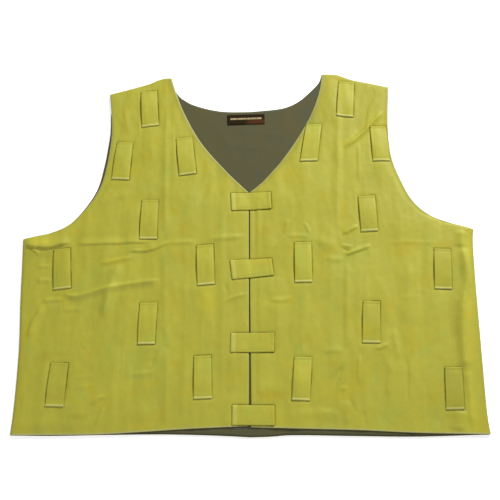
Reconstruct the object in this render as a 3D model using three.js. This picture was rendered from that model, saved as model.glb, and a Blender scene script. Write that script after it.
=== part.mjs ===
// A sleeveless, lined, V-necked tunic vest, laid flat on its back with its two fronts meeting down
// the middle. Millimetres, +Z up, z = 0 is the surface that it lies on, +Y runs towards the neck and
// +X towards the wearer's left, so the wearer's right front lies at -X.
// The back and its lining lie flat. Each front is one bagged wall (shell and lining together) that
// rolls round the edge of the back at the side and shoulder seams and is open at its other edges.

import * as THREE from 'three';

// Driving sizes
const backWall = 1.0;
const liningWall = 1.0;
const frontWall = 1.6;
const layerGap = 0.3;
const seamRadius = 4.5;
const backSeamInset = 2.2;
const liningSeamInset = 3.6;
const liningRim = 0.8;
const puff = 2.2;

// How finely the cloth is divided
const sideRows = 17;
const armholeRows = 17;
const centreRows = 21;
const neckRows = sideRows + armholeRows - centreRows;
const panelColumns = 24;
const seamSteps = 3;
const shoulderSteps = 8;
const hemSteps = 16;
const backNeckSteps = 18;

// Loops and tabs: a folded strip sewn down at its ends
const loopWidth = 25;
const loopWall = 1.2;
const loopArch = 2.1;
const tabWall = 1.8;
const tabLift = 1.1;
const stripSeat = 0.45;
const stripCellsAlong = 8;
const stripCellsAcross = 3;

// The woven label inside the back neck
const label = { x: -6, y: 198, width: 56, height: 16, wall: 1.0, turn: 1.9 };

// Each front's edges as it lies. Side and armhole run upwards, the shoulder runs inwards, the neck
// runs down to the point of the V, and the hem runs from the side seam to the middle.
// A fold is a straight soft ridge (rise above 0) or trough (rise below 0) across the cloth.
const rightFront = {
  side: [
    { x: -328, y: -270 }, { x: -325.5, y: -229 }, { x: -324.5, y: -153 }, { x: -327.5, y: -80 },
    { x: -328.6, y: -35 }, { x: -330, y: 9.4 },
  ],
  armhole: [
    { x: -330, y: 9.4 }, { x: -313, y: 13.4 }, { x: -289, y: 18.5 }, { x: -262, y: 32.2 },
    { x: -237.3, y: 60.2 }, { x: -221, y: 89.2 }, { x: -212.5, y: 126 }, { x: -208, y: 172 },
    { x: -210, y: 208 }, { x: -213.5, y: 240.5 },
  ],
  shoulder: [
    { x: -213.5, y: 240.5 }, { x: -184, y: 248.9 }, { x: -154, y: 258.2 }, { x: -141, y: 264.4 },
    { x: -130, y: 267.4 }, { x: -120.5, y: 267.7 },
  ],
  neck: [
    { x: -120.5, y: 267.7 }, { x: -113, y: 243 }, { x: -98, y: 205 }, { x: -72, y: 158 },
    { x: -34.6, y: 113.6 }, { x: -3, y: 82 },
  ],
  hem: [
    { x: -328, y: -270 }, { x: -212, y: -268.8 }, { x: -147, y: -265.4 }, { x: -82, y: -261.3 },
    { x: -2, y: -257.8 },
  ],
  folds: [
    { name: 'packing crease, lip', fromX: -318, fromY: 6, toX: -262, toY: 10, width: 22, rise: 2.4 },
    { name: 'packing crease, step', fromX: -316, fromY: -8, toX: -258, toY: -4, width: 16, rise: -2.0 },
    { name: 'packing crease, inner end', fromX: -262, fromY: 1, toX: -110, toY: 8, width: 18, rise: 0.8 },
    { name: 'waist ridge, outer', fromX: -268, fromY: -74, toX: -205, toY: -66, width: 20, rise: 2.4 },
    { name: 'waist ridge, inner', fromX: -205, fromY: -66, toX: -128, toY: -53, width: 18, rise: 1.5 },
    { name: 'chest ridge', fromX: -230, fromY: -23, toX: -128, toY: -11, width: 18, rise: 1.4 },
    { name: 'chest trough', fromX: -188, fromY: -28, toX: -222, toY: -104, width: 24, rise: -1.4 },
    { name: 'side trough', fromX: -296, fromY: -96, toX: -308, toY: -160, width: 22, rise: -1.5 },
    { name: 'skirt trough', fromX: -188, fromY: -150, toX: -196, toY: -262, width: 26, rise: -1.2 },
    { name: 'press line', fromX: -127, fromY: 178, toX: -123, toY: -252, width: 20, rise: 1.0 },
    { name: 'low ridge', fromX: -235, fromY: -220, toX: -208, toY: -206, width: 18, rise: 1.2 },
    { name: 'facing ridge', fromX: -32, fromY: 70, toX: -31, toY: -256, width: 22, rise: -0.8 },
  ],
};

const leftFront = {
  side: [
    { x: 329, y: -268.6 }, { x: 326.2, y: -236 }, { x: 324.8, y: -150 }, { x: 323.6, y: -60 },
    { x: 324, y: 4 }, { x: 326.5, y: 24.5 },
  ],
  armhole: [
    { x: 326.5, y: 24.5 }, { x: 313, y: 29 }, { x: 294, y: 33.4 }, { x: 264, y: 45.3 },
    { x: 240, y: 66.5 }, { x: 224, y: 97.5 }, { x: 212, y: 132 }, { x: 208, y: 166 },
    { x: 208.5, y: 206 }, { x: 211.5, y: 252.7 },
  ],
  shoulder: [
    { x: 211.5, y: 252.7 }, { x: 184, y: 258.9 }, { x: 157, y: 264.8 }, { x: 143, y: 270 },
    { x: 132, y: 273.7 }, { x: 110.4, y: 274.6 },
  ],
  neck: [
    { x: 110.4, y: 274.6 }, { x: 106, y: 246 }, { x: 94, y: 210 }, { x: 73.3, y: 170 }, { x: 48, y: 132 },
    { x: 33.3, y: 114 }, { x: 17.4, y: 96 }, { x: 1, y: 82 },
  ],
  hem: [
    { x: 329, y: -268.6 }, { x: 229, y: -266.6 }, { x: 147, y: -263 }, { x: 65, y: -261 },
    { x: 1, y: -259.2 },
  ],
  folds: [
    { name: 'shoulder ridge', fromX: 136, fromY: 142, toX: 203, toY: 214, width: 20, rise: 2.8 },
    { name: 'shoulder trough', fromX: 182, fromY: 248, toX: 160, toY: 180, width: 18, rise: -1.8 },
    { name: 'press line', fromX: 135, fromY: 190, toX: 129, toY: 24, width: 18, rise: 1.0 },
    { name: 'waist press line', fromX: 137, fromY: -18, toX: 136, toY: -136, width: 18, rise: 0.9 },
    { name: 'crumple, upper', fromX: 120, fromY: 4, toX: 180, toY: 2, width: 16, rise: 1.9 },
    { name: 'crumple, lower', fromX: 130, fromY: -16, toX: 162, toY: -4, width: 14, rise: -1.6 },
    { name: 'side trough, upper', fromX: 305, fromY: 20, toX: 306, toY: -36, width: 20, rise: -1.4 },
    { name: 'side trough, lower', fromX: 304, fromY: -30, toX: 289, toY: -158, width: 22, rise: -1.8 },
    { name: 'side ridge', fromX: 303, fromY: -96, toX: 297, toY: -250, width: 20, rise: 1.8 },
    { name: 'skirt trough', fromX: 130, fromY: -172, toX: 102, toY: -234, width: 24, rise: -1.8 },
    { name: 'hem trough', fromX: 136, fromY: -218, toX: 162, toY: -258, width: 20, rise: -1.4 },
    { name: 'pocket trough', fromX: 202, fromY: -118, toX: 174, toY: -172, width: 20, rise: -1.6 },
    { name: 'pocket ridge', fromX: 166, fromY: -152, toX: 204, toY: -134, width: 16, rise: 1.4 },
    { name: 'outer skirt trough', fromX: 218, fromY: -184, toX: 215, toY: -252, width: 22, rise: -1.2 },
    { name: 'middle ridge', fromX: 8, fromY: -86, toX: 62, toY: -80, width: 18, rise: 1.2 },
  ],
};

// The middle slit: where it lies and how far it gapes, from the V down to the hem.
const slit = [
  { y: 82, x: -1, gap: 1.4 },
  { y: -60, x: -0.7, gap: 1.5 },
  { y: -180, x: 0, gap: 2.6 },
  { y: -225, x: 0.2, gap: 3.4 },
  { y: -259, x: -0.3, gap: 2.8 },
];

// How far the back's armhole lies beyond the front's, along the armhole from underarm to shoulder.
const rightArmholeRim = [
  { along: 0, beyond: -4 }, { along: 0.14, beyond: -3 }, { along: 0.22, beyond: 0.6 },
  { along: 0.37, beyond: 2 }, { along: 0.5, beyond: 3.2 }, { along: 0.56, beyond: 3.8 },
  { along: 0.7, beyond: 3.4 }, { along: 0.8, beyond: 2.2 }, { along: 0.88, beyond: 1.2 },
  { along: 0.94, beyond: -2.6 }, { along: 1, beyond: -2.6 },
];
const leftArmholeRim = [{ along: 0, beyond: -4 }, { along: 0.5, beyond: -3 }, { along: 1, beyond: -2.6 }];

// The back's own hem and neckline, between the corners that it shares with the fronts.
const backHem = [
  { x: -273, y: -270.6 }, { x: -205, y: -269.5 }, { x: -120, y: -268.6 }, { x: -48, y: -270.2 },
  { x: 0, y: -272.5 }, { x: 27, y: -271.7 }, { x: 62, y: -269.6 }, { x: 150, y: -270.8 },
  { x: 230, y: -271.5 },
];
const backNeck = [
  { x: -115, y: 248 }, { x: -106.5, y: 235.5 }, { x: -97, y: 228.5 }, { x: -86, y: 222.5 },
  { x: -62, y: 215 }, { x: -36, y: 211 }, { x: 0, y: 211 }, { x: 36, y: 214.5 }, { x: 56, y: 218.8 },
  { x: 75, y: 229 }, { x: 93, y: 245.7 }, { x: 106, y: 261 },
];

// Where the loops and closing tabs are sewn. Lean tips a piece's upper end to +X, endTilt turns its
// ends anticlockwise, and spread is its lower end's width over its upper end's. A tab runs to +X, from
// its sewn end's width to its free end's. The lengths differ a little, as cut by hand.
const loops = [
  { name: 'right_loop_1', x: -152, y: 214.8, length: 58.5, lean: -3.7, endTilt: 8, spread: 1.04 },
  { name: 'right_loop_2', x: -189.4, y: 130, length: 60, lean: 4.6, endTilt: -2.6, spread: 1.1 },
  { name: 'right_loop_3', x: -95.4, y: 137.4, length: 60, lean: -6.4, endTilt: 8, spread: 1.05 },
  { name: 'right_loop_4', x: -147, y: 38.4, length: 60.5, lean: 0.8, endTilt: -0.3, spread: 1.04 },
  { name: 'right_loop_5', x: -269.6, y: -36, length: 60, lean: -3.6, endTilt: 5.6, spread: 1.04 },
  { name: 'right_loop_6', x: -64, y: -30, length: 60, lean: -2.5, endTilt: 5.6, spread: 1.02 },
  { name: 'right_loop_7', x: -144.4, y: -115.5, length: 60, lean: 1.7, endTilt: 0, spread: 0.95 },
  { name: 'right_loop_8', x: -266.6, y: -201.4, length: 60.5, lean: 3.6, endTilt: -1.4, spread: 1.03 },
  { name: 'right_loop_9', x: -65.5, y: -191, length: 60, lean: -1.2, endTilt: 2.4, spread: 1.06 },
  { name: 'left_loop_1', x: 145.2, y: 230.8, length: 59, lean: 4.5, endTilt: -4.5, spread: 1.08 },
  { name: 'left_loop_2', x: 91.7, y: 159.2, length: 60.5, lean: 8.6, endTilt: 2.2, spread: 1.12 },
  { name: 'left_loop_3', x: 194, y: 158, length: 56.6, lean: -3.2, endTilt: 2, spread: 1.06 },
  { name: 'left_loop_4', x: 172.2, y: 47.3, length: 55, lean: -2.6, endTilt: 3.2, spread: 1 },
  { name: 'left_loop_5', x: 76.5, y: -26, length: 60, lean: -0.3, endTilt: 1.1, spread: 1.02 },
  { name: 'left_loop_6', x: 276.4, y: -36, length: 60, lean: 1.8, endTilt: -0.9, spread: 1.06 },
  { name: 'left_loop_7', x: 171, y: -113.6, length: 60, lean: 2.4, endTilt: -0.4, spread: 1.06 },
  { name: 'left_loop_8', x: 72, y: -193, length: 60.5, lean: 3.9, endTilt: -2.2, spread: 1 },
  { name: 'left_loop_9', x: 282, y: -206.4, length: 58.6, lean: 0.9, endTilt: 1.1, spread: 1.06 },
];
const tabs = [
  { name: 'closing_tab_1', x: 1.6, y: 66.6, length: 58.9, rise: 2.3, skew: 0.6, width: 27.6, endWidth: 26 },
  { name: 'closing_tab_2', x: 2.7, y: -35.2, length: 60.4, rise: 4.4, skew: 3.2, width: 29, endWidth: 25.4 },
  { name: 'closing_tab_3', x: 3.4, y: -142.6, length: 61.6, rise: 0.3, skew: -0.9, width: 27.6, endWidth: 27.6 },
  { name: 'closing_tab_4', x: 4.6, y: -243, length: 58.6, rise: -0.7, skew: 0, width: 27.4, endWidth: 27.4 },
];

const shellCloth = new THREE.MeshStandardMaterial({ color: 0xb6b440, roughness: 0.6, metalness: 0 });
const loopCloth = new THREE.MeshStandardMaterial({ color: 0xc0c057, roughness: 0.6, metalness: 0 });
const liningCloth = new THREE.MeshStandardMaterial({ color: 0x5e5a40, roughness: 0.9, metalness: 0 });
const labelCloth = new THREE.MeshStandardMaterial({ color: 0x4a2a1c, roughness: 0.8, metalness: 0 });

const mix = (a, b, share) => a + (b - a) * share;
const clamp = (value) => Math.min(1, Math.max(0, value));
const smooth = (value) => clamp(value) ** 2 * (3 - 2 * clamp(value));
const curveThrough = (rows) => new THREE.SplineCurve(rows.map((row) => new THREE.Vector2(row.x, row.y)));

// A column of a table, read between its rows.
function readTable(rows, key, value, at) {
  const ordered = rows[0][key] <= rows[rows.length - 1][key] ? rows : [...rows].reverse();
  const next = Math.max(1, ordered.findIndex((row) => row[key] >= at));
  const after = ordered[at > ordered[ordered.length - 1][key] ? ordered.length - 1 : next];
  const before = ordered[ordered.indexOf(after) - 1];
  return mix(before[value], after[value], clamp((at - before[key]) / (after[key] - before[key])));
}

// Points at equal steps along a curve, both ends included.
function stepsAlong(curve, count) {
  return Array.from({ length: count + 1 }, (_, index) => curve.getPointAt(index / count));
}

function foldHeight(folds, x, y) {
  return folds.reduce((total, fold) => {
    const run = new THREE.Vector2(fold.toX - fold.fromX, fold.toY - fold.fromY);
    const offset = new THREE.Vector2(x - fold.fromX, y - fold.fromY);
    const along = offset.dot(run) / run.lengthSq();
    const across = Math.abs(offset.cross(run)) / run.length();
    const taper = smooth(along / 0.25) * smooth((1 - along) / 0.25);
    const profile = across < fold.width / 2 ? Math.cos((Math.PI * across) / fold.width) ** 2 : 0;
    return total + fold.rise * taper * profile;
  }, 0);
}

// The four edges of a front as functions of 0..1, and the plan point that they blend to.
function frontPlan(front, direction) {
  const side = curveThrough(front.side);
  const armhole = curveThrough(front.armhole);
  const shoulder = curveThrough(front.shoulder);
  const neck = curveThrough(front.neck);
  const hem = curveThrough(front.hem);
  const rows = sideRows + armholeRows;
  const outer = (v) => (v * rows <= sideRows
    ? side.getPointAt((v * rows) / sideRows)
    : armhole.getPointAt((v * rows - sideRows) / armholeRows));
  const vPoint = front.neck[front.neck.length - 1];
  const hemEnd = front.hem[front.hem.length - 1];
  const centre = (share) => {
    const y = mix(hemEnd.y, vPoint.y, share);
    const halfGap = readTable(slit, 'y', 'gap', y) / 2;
    return new THREE.Vector2(readTable(slit, 'y', 'x', y) + direction * halfGap, y);
  };
  const inner = (v) => (v * rows <= centreRows
    ? centre((v * rows) / centreRows)
    : neck.getPointAt(1 - (v * rows - centreRows) / neckRows));
  const corner = { hemOuter: outer(0), hemInner: inner(0), topOuter: outer(1), topInner: inner(1) };
  const place = (u, v) => {
    const point = outer(v).multiplyScalar(1 - u).addScaledVector(inner(v), u);
    point.addScaledVector(hem.getPointAt(u), 1 - v).addScaledVector(shoulder.getPointAt(u), v);
    point.addScaledVector(corner.hemOuter, -(1 - u) * (1 - v)).addScaledVector(corner.hemInner, -u * (1 - v));
    return point.addScaledVector(corner.topOuter, -(1 - u) * v).addScaledVector(corner.topInner, -u * v);
  };
  return { outer, inner, place, side, armhole, shoulder };
}

// One front as a grid of points. depth is 0 on the outside and the wall's thickness on the inside.
function frontGrid(front, plan, depth) {
  const rows = sideRows + armholeRows;
  const rowSpan = 2 * plan.armhole.getLength();
  const grid = [];
  for (let row = 0; row <= rows + seamSteps - 1; row += 1) {
    const topStep = Math.max(0, row - rows + 1);
    const topAngle = (Math.PI / 2) * (1 - topStep / seamSteps);
    const topInset = depth + (seamRadius - depth) * (1 - Math.cos(topAngle));
    const v = row < rows ? Math.min(row / rows, 1 - seamRadius / rowSpan) : 1 - topInset / rowSpan;
    const topRise = topStep === 0 ? 1 : Math.sin(topAngle);
    const rolled = 1 - smooth((v * rows - sideRows) / 2.2);
    const rowLength = plan.outer(v).distanceTo(plan.inner(v));
    const line = [];
    for (let column = 0; column <= seamSteps + panelColumns; column += 1) {
      const sideAngle = (Math.PI / 2) * Math.min(1, column / seamSteps);
      const rollInset = depth + (seamRadius - depth) * (1 - Math.cos(sideAngle));
      const flatInset = (seamRadius * Math.min(column, seamSteps)) / seamSteps;
      const start = mix(flatInset, rollInset, rolled) / rowLength;
      const u = mix(start, 1, Math.max(0, column - seamSteps) / panelColumns);
      const sideRise = mix(1, Math.sin(sideAngle), rolled);
      const point = plan.place(u, v);
      const dome = puff * (1 - (2 * u - 1) ** 4) * (1 - (2 * v - 1) ** 4);
      const fade = smooth((u * rowLength - seamRadius) / 12) * smooth(((1 - v) * rowSpan) / 12);
      const lift = Math.max(0, (dome + foldHeight(front.folds, point.x, point.y)) * fade);
      line.push(new THREE.Vector3(point.x, point.y, (seamRadius + lift - depth) * sideRise * topRise));
    }
    grid.push(line);
  }
  return grid;
}

// A closed wall between an outer and an inner grid of the same size.
function wallBetween(outer, inner) {
  const rowCount = outer.length;
  const columnCount = outer[0].length;
  const positions = [...outer.flat(), ...inner.flat()].flatMap((point) => [point.x, point.y, point.z]);
  const top = (row, column) => row * columnCount + column;
  const bottom = (row, column) => rowCount * columnCount + top(row, column);
  const index = [];
  const quad = (a, b, c, d) => index.push(a, b, c, a, c, d);
  for (let row = 0; row < rowCount - 1; row += 1) {
    for (let column = 0; column < columnCount - 1; column += 1) {
      quad(top(row, column), top(row, column + 1), top(row + 1, column + 1), top(row + 1, column));
      const under = [bottom(row, column), bottom(row + 1, column), bottom(row + 1, column + 1)];
      quad(...under, bottom(row, column + 1));
    }
    const last = columnCount - 1;
    quad(top(row, 0), top(row + 1, 0), bottom(row + 1, 0), bottom(row, 0));
    quad(top(row, last), bottom(row, last), bottom(row + 1, last), top(row + 1, last));
  }
  for (let column = 0; column < columnCount - 1; column += 1) {
    const last = rowCount - 1;
    quad(top(0, column), bottom(0, column), bottom(0, column + 1), top(0, column + 1));
    quad(top(last, column), top(last, column + 1), bottom(last, column + 1), bottom(last, column));
  }
  const corner = (row, column) => outer[row][column];
  const across = corner(1, 1).clone().sub(corner(0, 0));
  const other = corner(1, 0).clone().sub(corner(0, 1));
  if (across.x * other.y - across.y * other.x < 0) {
    index.reverse();
  }
  const geometry = new THREE.BufferGeometry();
  geometry.setAttribute('position', new THREE.Float32BufferAttribute(positions, 3));
  geometry.setIndex(index);
  geometry.computeVertexNormals();
  return geometry;
}

// The height of the fronts' outer facets over a plan point, or of the nearest point of their edge.
function clothHeight(grids, x, y) {
  let nearest = { distance: Infinity, z: 0 };
  for (const grid of grids) {
    for (let row = 0; row < grid.length - 1; row += 1) {
      for (let column = 0; column < grid[0].length - 1; column += 1) {
        const [a, b] = [grid[row][column], grid[row][column + 1]];
        const [c, d] = [grid[row + 1][column + 1], grid[row + 1][column]];
        for (const [p, q, r] of [[a, b, c], [a, c, d]]) {
          const area = (q.x - p.x) * (r.y - p.y) - (q.y - p.y) * (r.x - p.x);
          const shareQ = ((x - p.x) * (r.y - p.y) - (y - p.y) * (r.x - p.x)) / area;
          const shareR = ((q.x - p.x) * (y - p.y) - (q.y - p.y) * (x - p.x)) / area;
          if (shareQ >= 0 && shareR >= 0 && shareQ + shareR <= 1) {
            return p.z + shareQ * (q.z - p.z) + shareR * (r.z - p.z);
          }
        }
        const distance = Math.hypot(a.x - x, a.y - y);
        nearest = distance < nearest.distance ? { distance, z: a.z } : nearest;
      }
    }
  }
  return nearest.z;
}

// A strip of cloth on the fronts. heading is the way it runs, skew turns its ends, liftAt gives its
// height off the cloth along it, and widthAt its width.
function stripOnFronts(grids, { x, y, length, wall, heading, skew, widthAt, liftAt }) {
  const run = new THREE.Vector2(Math.cos(heading), Math.sin(heading));
  const across = new THREE.Vector2(Math.sin(heading + skew), -Math.cos(heading + skew));
  const seat = [];
  for (let step = 0; step <= stripCellsAlong; step += 1) {
    const share = step / stripCellsAlong;
    seat.push(Array.from({ length: stripCellsAcross + 1 }, (_, cell) => {
      const sideways = (cell / stripCellsAcross - 0.5) * widthAt(share);
      const point = new THREE.Vector2(x, y).addScaledVector(run, (share - 0.5) * length);
      point.addScaledVector(across, sideways);
      const seat = clothHeight(grids, point.x, point.y) + stripSeat;
      return new THREE.Vector3(point.x, point.y, seat + liftAt(share));
    }));
  }
  const raised = seat.map((line) => line.map((point) => point.clone().setZ(point.z + wall)));
  return wallBetween(raised, seat);
}

// A closed outline moved inwards, each stretch by its own amount. Points run clockwise.
function insetOutline(points, insets) {
  const count = points.length;
  const inward = points.map((point, index) => {
    const along = points[(index + 1) % count].clone().sub(point).normalize();
    return new THREE.Vector2(along.y, -along.x);
  });
  return points.map((point, index) => {
    const previous = (index + count - 1) % count;
    const [a, b] = [inward[previous], inward[index]];
    const [depthA, depthB] = [insets[previous], insets[index]];
    const turn = a.cross(b);
    if (Math.abs(turn) < 0.5) {
      const blend = a.clone().add(b).normalize();
      return point.clone().addScaledVector(blend, (depthA + depthB) / 2);
    }
    const moveX = (depthA * b.y - depthB * a.y) / turn;
    const moveY = (depthB * a.x - depthA * b.x) / turn;
    return new THREE.Vector2(point.x + moveX, point.y + moveY);
  });
}

// The flat outline of the back: up the wearer's right side, over the neck and down the left side.
function backOutline(rightPlan, leftPlan, seamInset, openInset) {
  const points = [];
  const insets = [];
  const addStretch = (stretch, insetAt) => stretch.slice(0, -1).forEach((point, index) => {
    points.push(point);
    insets.push(insetAt((index + 0.5) / (stretch.length - 1)));
  });
  const rimInset = (rim) => (along) => openInset - readTable(rim, 'along', 'beyond', along);
  const seam = () => seamInset;
  const open = () => openInset;
  const neckRow = [rightPlan.shoulder.getPoint(1), ...backNeck, leftPlan.shoulder.getPoint(1)];
  const hemRow = [rightPlan.side.getPoint(0), ...backHem, leftPlan.side.getPoint(0)];
  addStretch(stepsAlong(rightPlan.side, sideRows), seam);
  addStretch(stepsAlong(rightPlan.armhole, armholeRows), rimInset(rightArmholeRim));
  addStretch(stepsAlong(rightPlan.shoulder, shoulderSteps), seam);
  addStretch(stepsAlong(curveThrough(neckRow), backNeckSteps), open);
  addStretch(stepsAlong(leftPlan.shoulder, shoulderSteps).reverse(), seam);
  const leftRim = rimInset(leftArmholeRim);
  addStretch(stepsAlong(leftPlan.armhole, armholeRows).reverse(), (along) => leftRim(1 - along));
  addStretch(stepsAlong(leftPlan.side, sideRows).reverse(), seam);
  addStretch(stepsAlong(curveThrough(hemRow), hemSteps).reverse(), open);
  return new THREE.Shape(insetOutline(points, insets));
}

const tunic = new THREE.Group();

function addPiece(name, geometry, material) {
  const mesh = new THREE.Mesh(geometry, material);
  mesh.name = name;
  tunic.add(mesh);
  return mesh;
}

const rightPlan = frontPlan(rightFront, -1);
const leftPlan = frontPlan(leftFront, 1);

function addLayer(name, outline, wall, height, material) {
  const geometry = new THREE.ExtrudeGeometry(outline, { depth: wall, bevelEnabled: false, steps: 1 });
  addPiece(name, geometry, material).position.z = height;
}
addLayer('back', backOutline(rightPlan, leftPlan, backSeamInset, 0), backWall, 0, shellCloth);
const liningOutline = backOutline(rightPlan, leftPlan, liningSeamInset, liningRim);
addLayer('back_lining', liningOutline, liningWall, backWall + layerGap, liningCloth);

const rightOuter = frontGrid(rightFront, rightPlan, 0);
const leftOuter = frontGrid(leftFront, leftPlan, 0);
addPiece('right_front', wallBetween(rightOuter, frontGrid(rightFront, rightPlan, frontWall)), shellCloth);
addPiece('left_front', wallBetween(leftOuter, frontGrid(leftFront, leftPlan, frontWall)), shellCloth);

const fronts = [rightOuter, leftOuter];
for (const { name, x, y, length, lean, endTilt, spread } of loops) {
  const upper = (2 * loopWidth) / (1 + spread);
  addPiece(name, stripOnFronts(fronts, {
    x, y, length,
    wall: loopWall,
    heading: THREE.MathUtils.degToRad(90 - lean),
    skew: THREE.MathUtils.degToRad(endTilt + lean),
    widthAt: (share) => mix(upper * spread, upper, share),
    liftAt: (share) => loopArch * Math.sin(Math.PI * share),
  }), loopCloth);
}

for (const { name, x, y, length, rise, skew, width, endWidth } of tabs) {
  addPiece(name, stripOnFronts(fronts, {
    x, y, length,
    wall: tabWall,
    heading: THREE.MathUtils.degToRad(rise),
    skew: THREE.MathUtils.degToRad(skew),
    widthAt: (share) => mix(width, endWidth, share),
    liftAt: (share) => tabLift * smooth(share),
  }), loopCloth);
}

const labelShape = new THREE.BoxGeometry(label.width, label.height, label.wall);
const labelPiece = addPiece('neck_label', labelShape, labelCloth);
const liningTop = backWall + layerGap + liningWall;
labelPiece.position.set(label.x, label.y, liningTop + layerGap + label.wall / 2);
labelPiece.rotation.z = THREE.MathUtils.degToRad(label.turn);

export default tunic;
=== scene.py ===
import math

import bmesh
import bpy
import numpy as np
from mathutils import Euler, Matrix, Vector, noise
from mathutils.bvhtree import BVHTree


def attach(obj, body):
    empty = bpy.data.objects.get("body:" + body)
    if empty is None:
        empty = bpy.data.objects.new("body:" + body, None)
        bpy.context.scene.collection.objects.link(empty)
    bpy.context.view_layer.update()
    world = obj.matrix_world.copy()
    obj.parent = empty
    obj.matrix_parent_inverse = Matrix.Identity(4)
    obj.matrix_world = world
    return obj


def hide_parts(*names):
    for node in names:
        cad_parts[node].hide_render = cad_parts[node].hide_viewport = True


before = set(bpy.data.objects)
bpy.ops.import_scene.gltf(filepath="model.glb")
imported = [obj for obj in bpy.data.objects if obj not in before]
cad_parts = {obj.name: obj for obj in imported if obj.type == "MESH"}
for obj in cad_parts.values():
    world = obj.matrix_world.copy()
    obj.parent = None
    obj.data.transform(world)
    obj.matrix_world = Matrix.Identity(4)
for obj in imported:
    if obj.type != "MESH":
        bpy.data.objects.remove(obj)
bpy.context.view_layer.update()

mm = 0.001
farMark = 12.0  # mm from an edge, past which nothing changes any more
creaseSteps = 5  # points on a crease between two that are given
endWidth = 0.6  # a crease's width at its ends, as a share
patchFade = 1.2  # how soon a patch fades out
castHeight = 0.05  # metres, well above the cloth
clothHeight = 0.0075  # metres, about the cloth's top


# Small helpers
def clamp(value):
    return np.clip(value, 0.0, 1.0)


def smooth(value):  # soft step from 0 to 1
    share = clamp(value)
    return share * share * (3 - 2 * share)


def mix(low, high, share):
    return low + (high - low) * share


class Edge:  # a smooth line through a few points, read by its share of the length
    def __init__(self, points, steps=24):
        rows = np.array(points, float)
        ends = np.vstack([rows[:1], rows, rows[-1:]])
        share = np.linspace(0, 1, steps, endpoint=False)[:, None]
        dense = []
        for index in range(len(rows) - 1):
            a, b, c, d = ends[index:index + 4]
            bend = (2 * b) + (c - a) * share + (2 * a - 5 * b + 4 * c - d) * share ** 2
            dense.append(0.5 * (bend + (3 * b - a - 3 * c + d) * share ** 3))
        self.line = np.vstack(dense + [rows[-1:]])
        lengths = np.linalg.norm(np.diff(self.line, axis=0), axis=1)
        self.length = lengths.sum()
        self.shares = np.concatenate([[0], np.cumsum(lengths)]) / self.length

    def at(self, share):
        return np.stack([np.interp(share, self.shares, self.line[:, axis]) for axis in (0, 1)], axis=-1)


def creaseHeight(x, y, creases):
    # a crease: a smooth line, its width to the left and right of the way it runs, its rise (or fall)
    # in mm, the share of its length over which each end fades, and how sharp its ridge is
    total = np.zeros_like(x)
    for crease in creases:
        line, left, right = crease[:3]
        edge = Edge(line, creaseSteps)
        reach = max(left, right)
        low, high = edge.line.min(axis=0) - reach, edge.line.max(axis=0) + reach
        near = (x > low[0]) & (x < high[0]) & (y > low[1]) & (y < high[1])
        if near.any():
            total[near] += oneCrease(x[near], y[near], edge, crease)
    return total


def oneCrease(x, y, edge, crease):
    left, right, rise, taper, sharpness = crease[1:]
    runs = np.diff(edge.line, axis=0)
    offX, offY = x[:, None] - edge.line[:-1, 0], y[:, None] - edge.line[:-1, 1]
    part = clamp((offX * runs[:, 0] + offY * runs[:, 1]) / (runs ** 2).sum(axis=1))
    gapX, gapY = offX - part * runs[:, 0], offY - part * runs[:, 1]
    distance = np.hypot(gapX, gapY)
    nearest = distance.argmin(axis=1)
    own = (np.arange(len(x)), nearest)
    isLeft = runs[nearest, 0] * gapY[own] > runs[nearest, 1] * gapX[own]
    along = mix(edge.shares[nearest], edge.shares[nearest + 1], part[own])
    ends = smooth(along / taper) * smooth((1 - along) / taper)
    width = np.where(isLeft, left, right) * mix(endWidth, 1, ends)
    reach = clamp(distance[own] / width)
    soft, sharp = np.cos(0.5 * math.pi * reach) ** 2, (1 - reach) ** 2
    return rise * ends * mix(soft, sharp, sharpness)


def patchShare(x, y, patches):  # how ochre the soft patches leave each point, and how dark or light: uneven dye with painted light and shade of soft folds
    warm, tone = np.zeros_like(x), np.ones_like(x)
    for midX, midY, width, height, patchWarm, patchDyeAndShade in patches:
        fade = np.exp(-(((x - midX) / width) ** 2 + ((y - midY) / height) ** 2) * patchFade)
        warm = np.maximum(warm, patchWarm * fade)
        tone *= mix(1, patchDyeAndShade, fade)
    return warm, tone


def softNoise(x, y, scaleX, scaleY, seed):  # smooth unevenness, one value a point
    return np.array([noise.noise(Vector((a * scaleX, b * scaleY, seed))) for a, b in zip(x, y)])


def clothWall(name, columns, rows, facesUpAt, undersideAt, underIndex=1):
    # a closed wall: a grid for its underside, extruded into its upper side, whose material is the first
    bm = bmesh.new()
    flow = bm.loops.layers.uv.new("flow")
    markNames = ("openEdge", "stripEdge", "tone", "warmth")
    marks = {mark: bm.verts.layers.float.new(mark) for mark in markNames}
    bmesh.ops.create_grid(bm, x_segments=columns, y_segments=rows, size=1)
    under = list(bm.verts)
    grown = bmesh.ops.extrude_face_region(bm, geom=list(bm.faces), use_keep_orig=True)
    upper = [item for item in grown["geom"] if isinstance(item, bmesh.types.BMVert)]
    underSet = set(under)
    cells = {}
    for verts, placeAt in ((under, undersideAt), (upper, facesUpAt)):
        i = np.array([round((vert.co.x + 1) / 2 * columns) for vert in verts])
        j = np.array([round((vert.co.y + 1) / 2 * rows) for vert in verts])
        points, along, extras = placeAt(i, j)
        for vert, point, share in zip(verts, points, along):
            vert.co = Vector(point) * mm
            cells[vert] = share
        for mark, values in extras.items():
            layer = marks[mark]
            for vert, value in zip(verts, np.broadcast_to(values, i.shape)):
                vert[layer] = value
    for face in bm.faces:
        face.material_index = 0
        face.smooth = True
        for loop in face.loops:
            loop[flow].uv = Vector(cells[loop.vert]) * mm
        if all(vert in underSet for vert in face.verts):
            face.material_index = underIndex
    bmesh.ops.recalc_face_normals(bm, faces=bm.faces)
    return finishPiece(name, bm)


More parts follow.
